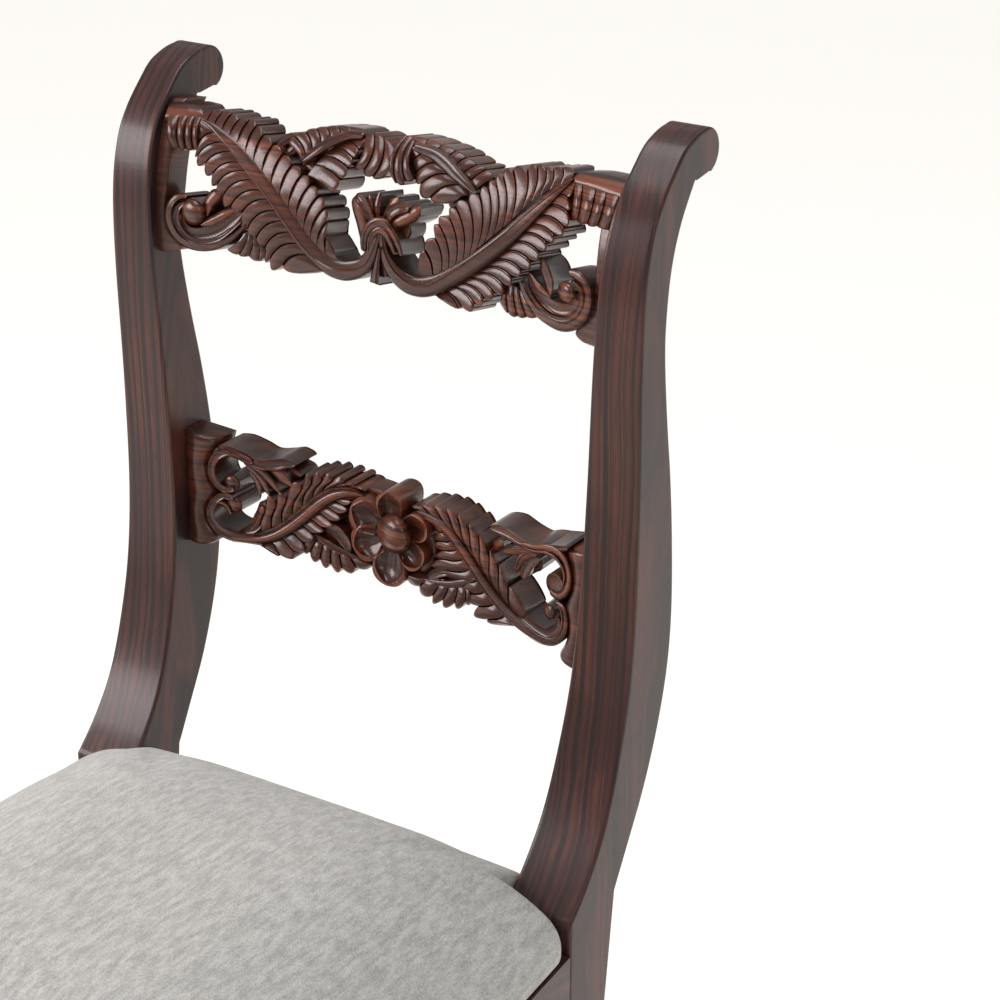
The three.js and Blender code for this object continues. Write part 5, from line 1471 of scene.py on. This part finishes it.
@dataclass
class SeatPad:
    """The upholstered seat: a crowned pad that runs round the posts, in place of its CAD cover and foam.

    The swell, the voxel and the reach, over which the pad follows its simulated copy, belong to the cloth.
    """

    lift: float = 1.0
    edge_height: float = 16.0
    crown: float = 57.0
    bulge: float = 2.0
    corner_radius: float = 14.0
    tuck_radius: float = 7.3
    back_overhang: float = 40.0
    post_gap: float = 1.2
    held_over_edge: float = 3.0
    swell: float = 7.0
    voxel: float = 6.0
    reach: float = 16.0
    pressure: float = 4.0
    last_frame: int = 20

    def side(self, depth: Array) -> Array:
        """The seat's half width at a depth."""
        return HALF_BACK - (HALF_FRONT - HALF_BACK) / SEAT_DEPTH * depth

    def outline(self) -> Array:
        """Works out the pad's outline, anticlockwise from above, with round corners and a step at each post."""
        between = HALF_BACK - post_width(np.array(0.0)) - self.post_gap
        shelf = -self.post_gap
        quarter = np.radians(np.linspace(90, 0, 9))[:, None]
        swing = np.concatenate([np.cos(quarter), np.sin(quarter)], axis=1)
        back = np.array([between, self.back_overhang]) + self.tuck_radius * (swing - 1)
        shoulder = np.array([self.side(shelf), shelf]) + self.corner_radius * (swing - 1)
        toe = np.array([self.side(-SEAT_DEPTH), -SEAT_DEPTH])
        toe = toe + self.corner_radius * (swing[::-1] - 1) * np.array([1.0, -1.0])
        middle_back, middle_front = [[0.0, self.back_overhang]], [[0.0, -SEAT_DEPTH]]
        right = np.concatenate([middle_back, back, [[between, shelf]], shoulder, toe, middle_front])
        left = right[-2:0:-1] * np.array([-1.0, 1.0])
        return evenly(np.concatenate([right, left, right[:1]]), 721)[:-1][::-1]

    def surface(self) -> Surface:
        """Carries the outline out from the underside's middle, up the sides and in to the middle of the crown.

        Each step of the profile is a share of the way in to the middle and a share of the height there. The
        crown falls off by a power of the way out to the sides and to the ends.

        Returns:
            The closed surface.
        """
        middle, half = (self.back_overhang - SEAT_DEPTH) / 2, (self.back_overhang + SEAT_DEPTH) / 2
        tuck = self.bulge / half
        profile = smooth_through(np.array([
            [1.0, 0.0], [0.5, 0.0], [0.2, 0.0], [0.07, 0.0], [0.028, 0.0], [0.004 + tuck, 0.0], [0.6 * tuck, 0.04],
            [0.0, 0.25], [0.0, 0.6], [0.006, 0.85], [0.025, 0.97], [0.08, 1.0], [0.2, 1.0], [0.4, 1.0], [0.7, 1.0],
            [1.0, 1.0],
        ]), 92)
        outline = self.outline()
        inward, up = np.clip(profile, 0.0, 1.0).T[:, :, None]
        x = outline[None, :, 0] * (1 - inward)
        depth = middle + (outline[None, :, 1] - middle) * (1 - inward)
        across = np.clip(np.abs(x) / self.side(depth), 0.0, 1.0)
        along = np.clip(np.abs(depth - middle) / half, 0.0, 1.0)
        bottom = -RAIL_TOP_DROP + self.lift
        top = -RAIL_TOP_DROP + self.edge_height + self.crown * (1 - across**4.6) * (1 - along**6)
        points = np.stack([x, depth, bottom + (top - bottom) * up], axis=2)
        return plain_surface(points, grid_quads(*points.shape[:2], wrap=True))

    def swelling(self, pad: bpy.types.Object) -> tuple[Array, Array]:
        """Blows up an evenly meshed copy of the pad as cloth under pressure, with its sides held.

        Args:
            pad: the pad, which stays as it is.

        Returns:
            The copy's points, and how far each of them moves, at most by the swell.
        """
        scene = bpy.context.scene
        even = show("even_pad", pad.data.copy())
        bpy.context.view_layer.objects.active = even
        remesh = even.modifiers.new("even", "REMESH")
        remesh.mode, remesh.voxel_size = "VOXEL", self.voxel * MM
        bpy.ops.object.modifier_apply(modifier=remesh.name)
        start = read_points(even.data)
        held = np.nonzero(start[:, 2] < (RAIL_TOP + self.edge_height + self.held_over_edge) * MM)[0]
        group = even.vertex_groups.new(name="held")
        group.add(held.tolist(), 1.0, "REPLACE")
        cloth = even.modifiers.new("cloth", "CLOTH")
        cloth.settings.vertex_group_mass = group.name
        cloth.settings.use_pressure = True
        cloth.settings.uniform_pressure_force = self.pressure
        cloth.settings.effector_weights.gravity = 0.0
        for number in range(1, self.last_frame + 1):
            scene.frame_set(number)
        moved = read_points(even.evaluated_get(bpy.context.evaluated_depsgraph_get()).to_mesh()) - start
        scene.frame_set(1)
        mesh = even.data
        bpy.data.objects.remove(even)
        bpy.data.meshes.remove(mesh)
        length = np.linalg.norm(moved, axis=1)[:, None]
        LOG.info("the pad swells by up to %.1f mm", float(length.max()) / MM)
        return start, moved * np.minimum(1.0, self.swell * MM / np.maximum(length, 1e-9))

    def inflate(self, pad: bpy.types.Object) -> None:
        """Moves each point of the pad as its blown-up copy moves around that point."""
        start, moved = self.swelling(pad)
        tree, reach = KDTree(len(start)), self.reach * MM
        for index, place in enumerate(start):
            tree.insert(place, index)
        tree.balance()
        points = read_points(pad.data)
        for index, point in enumerate(points.copy()):
            near = tree.find_range(point, reach)
            weights = np.array([(1 - (gap / reach) ** 2) ** 2 for _, _, gap in near])
            points[index] += weights @ moved[[number for _, number, _ in near]] / weights.sum()
        pad.data.vertices.foreach_set("co", points.ravel())
        pad.data.update()

    def build(self) -> bpy.types.Object:
        """Builds the pad."""
        pad = make_piece("seat_pad", self.surface(), 60.0, "seat_cover", "seat_foam")
        self.inflate(pad)
        return pad


def dress(piece: bpy.types.Object, material: bpy.types.Material) -> None:
    """Gives a piece one material."""
    piece.data.materials.clear()
    piece.data.materials.append(material)


@dataclass
class Studio:
    """The floor, the lights and the camera at the photograph's place and angle."""

    lens: float = 89.95
    sensor: float = 36.0
    camera_turn: Triple = (90.0 - 24.071, 0.0, 32.317)
    aim: Triple = (0.0, 0.15, 0.65)
    floor_near: float = 3.4
    floor_reach: float = 40.0

    def floor(self) -> None:
        """Lays a wide pale floor that glows a little, so that it stays even under the chair."""
        reach, near = self.floor_reach, self.floor_near
        mesh = bpy.data.meshes.new("floor")
        corners = [(-reach, -near, 0.0), (reach, -near, 0.0), (reach, reach, 0.0), (-reach, reach, 0.0)]
        mesh.from_pydata(corners, [], [(0, 1, 2, 3)])
        material, board, shader = new_material("pale_floor")
        noise = board.noise(board.object_place((1.0, 1.0, 1.0)), scale=3.0)
        board.feed(shader, {
            "Base Color": board.mix(noise, (0.36, 0.352, 0.34), (0.38, 0.372, 0.36)), "Roughness": 0.9,
            "Emission Color": (1.0, 0.975, 0.935, 1.0), "Emission Strength": 0.81,
        })
        mesh.materials.append(material)
        show("floor", mesh)

    def light(self, name: str, place: Triple, size: Pair, power: float, tint: Triple) -> None:
        """Hangs a soft rectangular light that points at the chair's back."""
        lamp = bpy.data.lights.new(name, "AREA")
        lamp.shape, lamp.size, lamp.size_y = "RECTANGLE", *size
        lamp.energy, lamp.color = power, tint
        holder = show(name, lamp)
        holder.location = place
        holder.rotation_euler = (Vector(self.aim) - Vector(place)).to_track_quat("-Z", "Y").to_euler()

    def lights(self) -> None:
        """Sets a wide soft light above, a key from the left, and weaker ones in front and at the right."""
        self.light("overhead", (-0.3, 0.2, 2.6), (1.3, 1.1), 21.0, (0.95, 0.97, 1.0))
        self.light("key", (-2.35, -1.65, 1.75), (1.9, 1.3), 68.0, (1.0, 0.935, 0.95))
        self.light("front", (2.2, -1.6, 2.3), (0.9, 0.9), 10.0, (0.93, 0.96, 1.0))
        self.light("behind_right", (2.4, 2.6, 1.6), (1.6, 1.4), 6.0, (0.97, 0.98, 1.0))
        world = bpy.data.worlds.new("studio")
        world.use_nodes = True
        background = world.node_tree.nodes["Background"]
        NodeBoard(world.node_tree).feed(background, {"Color": (1.0, 0.99, 0.975, 1.0), "Strength": 0.35})
        bpy.context.scene.world = world
        bpy.context.scene.view_settings.view_transform = "Standard"

    def camera(self) -> None:
        """Sets the camera."""
        lens = bpy.data.cameras.new("camera")
        lens.lens, lens.sensor_width = self.lens, self.sensor
        holder = show("camera", lens)
        holder.location = CAMERA_PLACE
        holder.rotation_euler = [math.radians(turn) for turn in self.camera_turn]
        bpy.context.scene.camera = holder


class Chair:
    """The whole chair: its pieces, in order, and their finishes."""

    def __init__(self) -> None:
        """Builds the finishes: those of the new pieces, and those of the CAD nodes by a part of their names."""
        figure, weave = figure_group(), weave_group()
        stain = {"dark": (0.019, 0.0105, 0.0095), "red": (0.066, 0.021, 0.0155), "pale": (0.12, 0.038, 0.024)}
        sawn = {**stain, "pitch": 5.0, "waver": 18.0, "roughness": 0.36, "coat": 0.2}
        self.post_wood = RosewoodFinish(
            "post_rosewood", Grain.UP, **stain, pitch=4.0, waver=24.0, seed=0.0, roughness=0.33, coat=0.12,
            contrast=0.68, gloss=0.36,
        ).material(figure)
        across = RosewoodFinish("rail_rosewood", Grain.ACROSS, **sawn, seed=40.0).material(figure)
        deep = RosewoodFinish("side_rosewood", Grain.DEEP, **sawn, seed=90.0).material(figure)
        # The carved wood's pale colour is also that of its painted highlights, and the carved wood is given painted
        # shade in its hollows.
        self.carved_wood = RosewoodFinish(
            "carved_rosewood", Grain.ACROSS, dark=(0.02, 0.0085, 0.006), red=(0.094, 0.023, 0.0115),
            pale=(0.24, 0.062, 0.026), pitch=3.0, waver=16.0, seed=7.0, roughness=0.28, coat=0.32, contrast=0.33,
            gloss=0.4, carved=True,
        ).material(figure)
        self.cloth = ClothFinish(
            "grey_twill", pale=(0.69, 0.673, 0.634), dark=(0.31, 0.3, 0.279), pitch=1.5,
        ).material(weave)
        plain = (
            ("corner_block", "plain_beech", (0.42, 0.27, 0.15), (0.5, 0.34, 0.2), (60.0, 900.0, 900.0), 0.6),
            ("seat_board", "plywood", (0.5, 0.36, 0.2), (0.62, 0.47, 0.29), (40.0, 700.0, 900.0), 0.65),
            ("dust_cloth", "black_lining", (0.012, 0.012, 0.013), (0.03, 0.03, 0.032), (900.0,) * 3, 0.9),
            ("_screw_", "zinc_steel", (0.5, 0.5, 0.49), (0.62, 0.62, 0.6), (500.0,) * 3, 0.3, 1.0),
            ("glide_", "brown_nylon", (0.02, 0.016, 0.013), (0.035, 0.028, 0.022), (700.0,) * 3, 0.5),
        )
        self.node_finishes = {
            "seat_rail_back": across, "seat_rail_front": across, "seat_rail_left": deep, "seat_rail_right": deep,
            **{key: PlainFinish(*finish).material() for key, *finish in plain},
        }

    def build(self) -> None:
        """Builds and dresses every piece."""
        for name, hand in (("left", -1.0), ("right", 1.0)):
            dress(BackPost().build(name, hand), self.post_wood)
            dress(FrontLeg().build(name, hand), self.post_wood)
        dress(build_crest(), self.carved_wood)
        dress(build_splat(), self.carved_wood)
        dress(SeatPad().build(), self.cloth)
        for key, material in self.node_finishes.items():
            for node_name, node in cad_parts.items():
                if key in node_name:
                    dress(node, material)


def main() -> None:
    """Builds the studio and the chair."""
    logging.basicConfig(level=logging.INFO, format="%(name)s: %(message)s")
    studio = Studio()
    studio.camera()
    studio.floor()
    studio.lights()
    Chair().build()


if __name__ == "__main__":
    main()
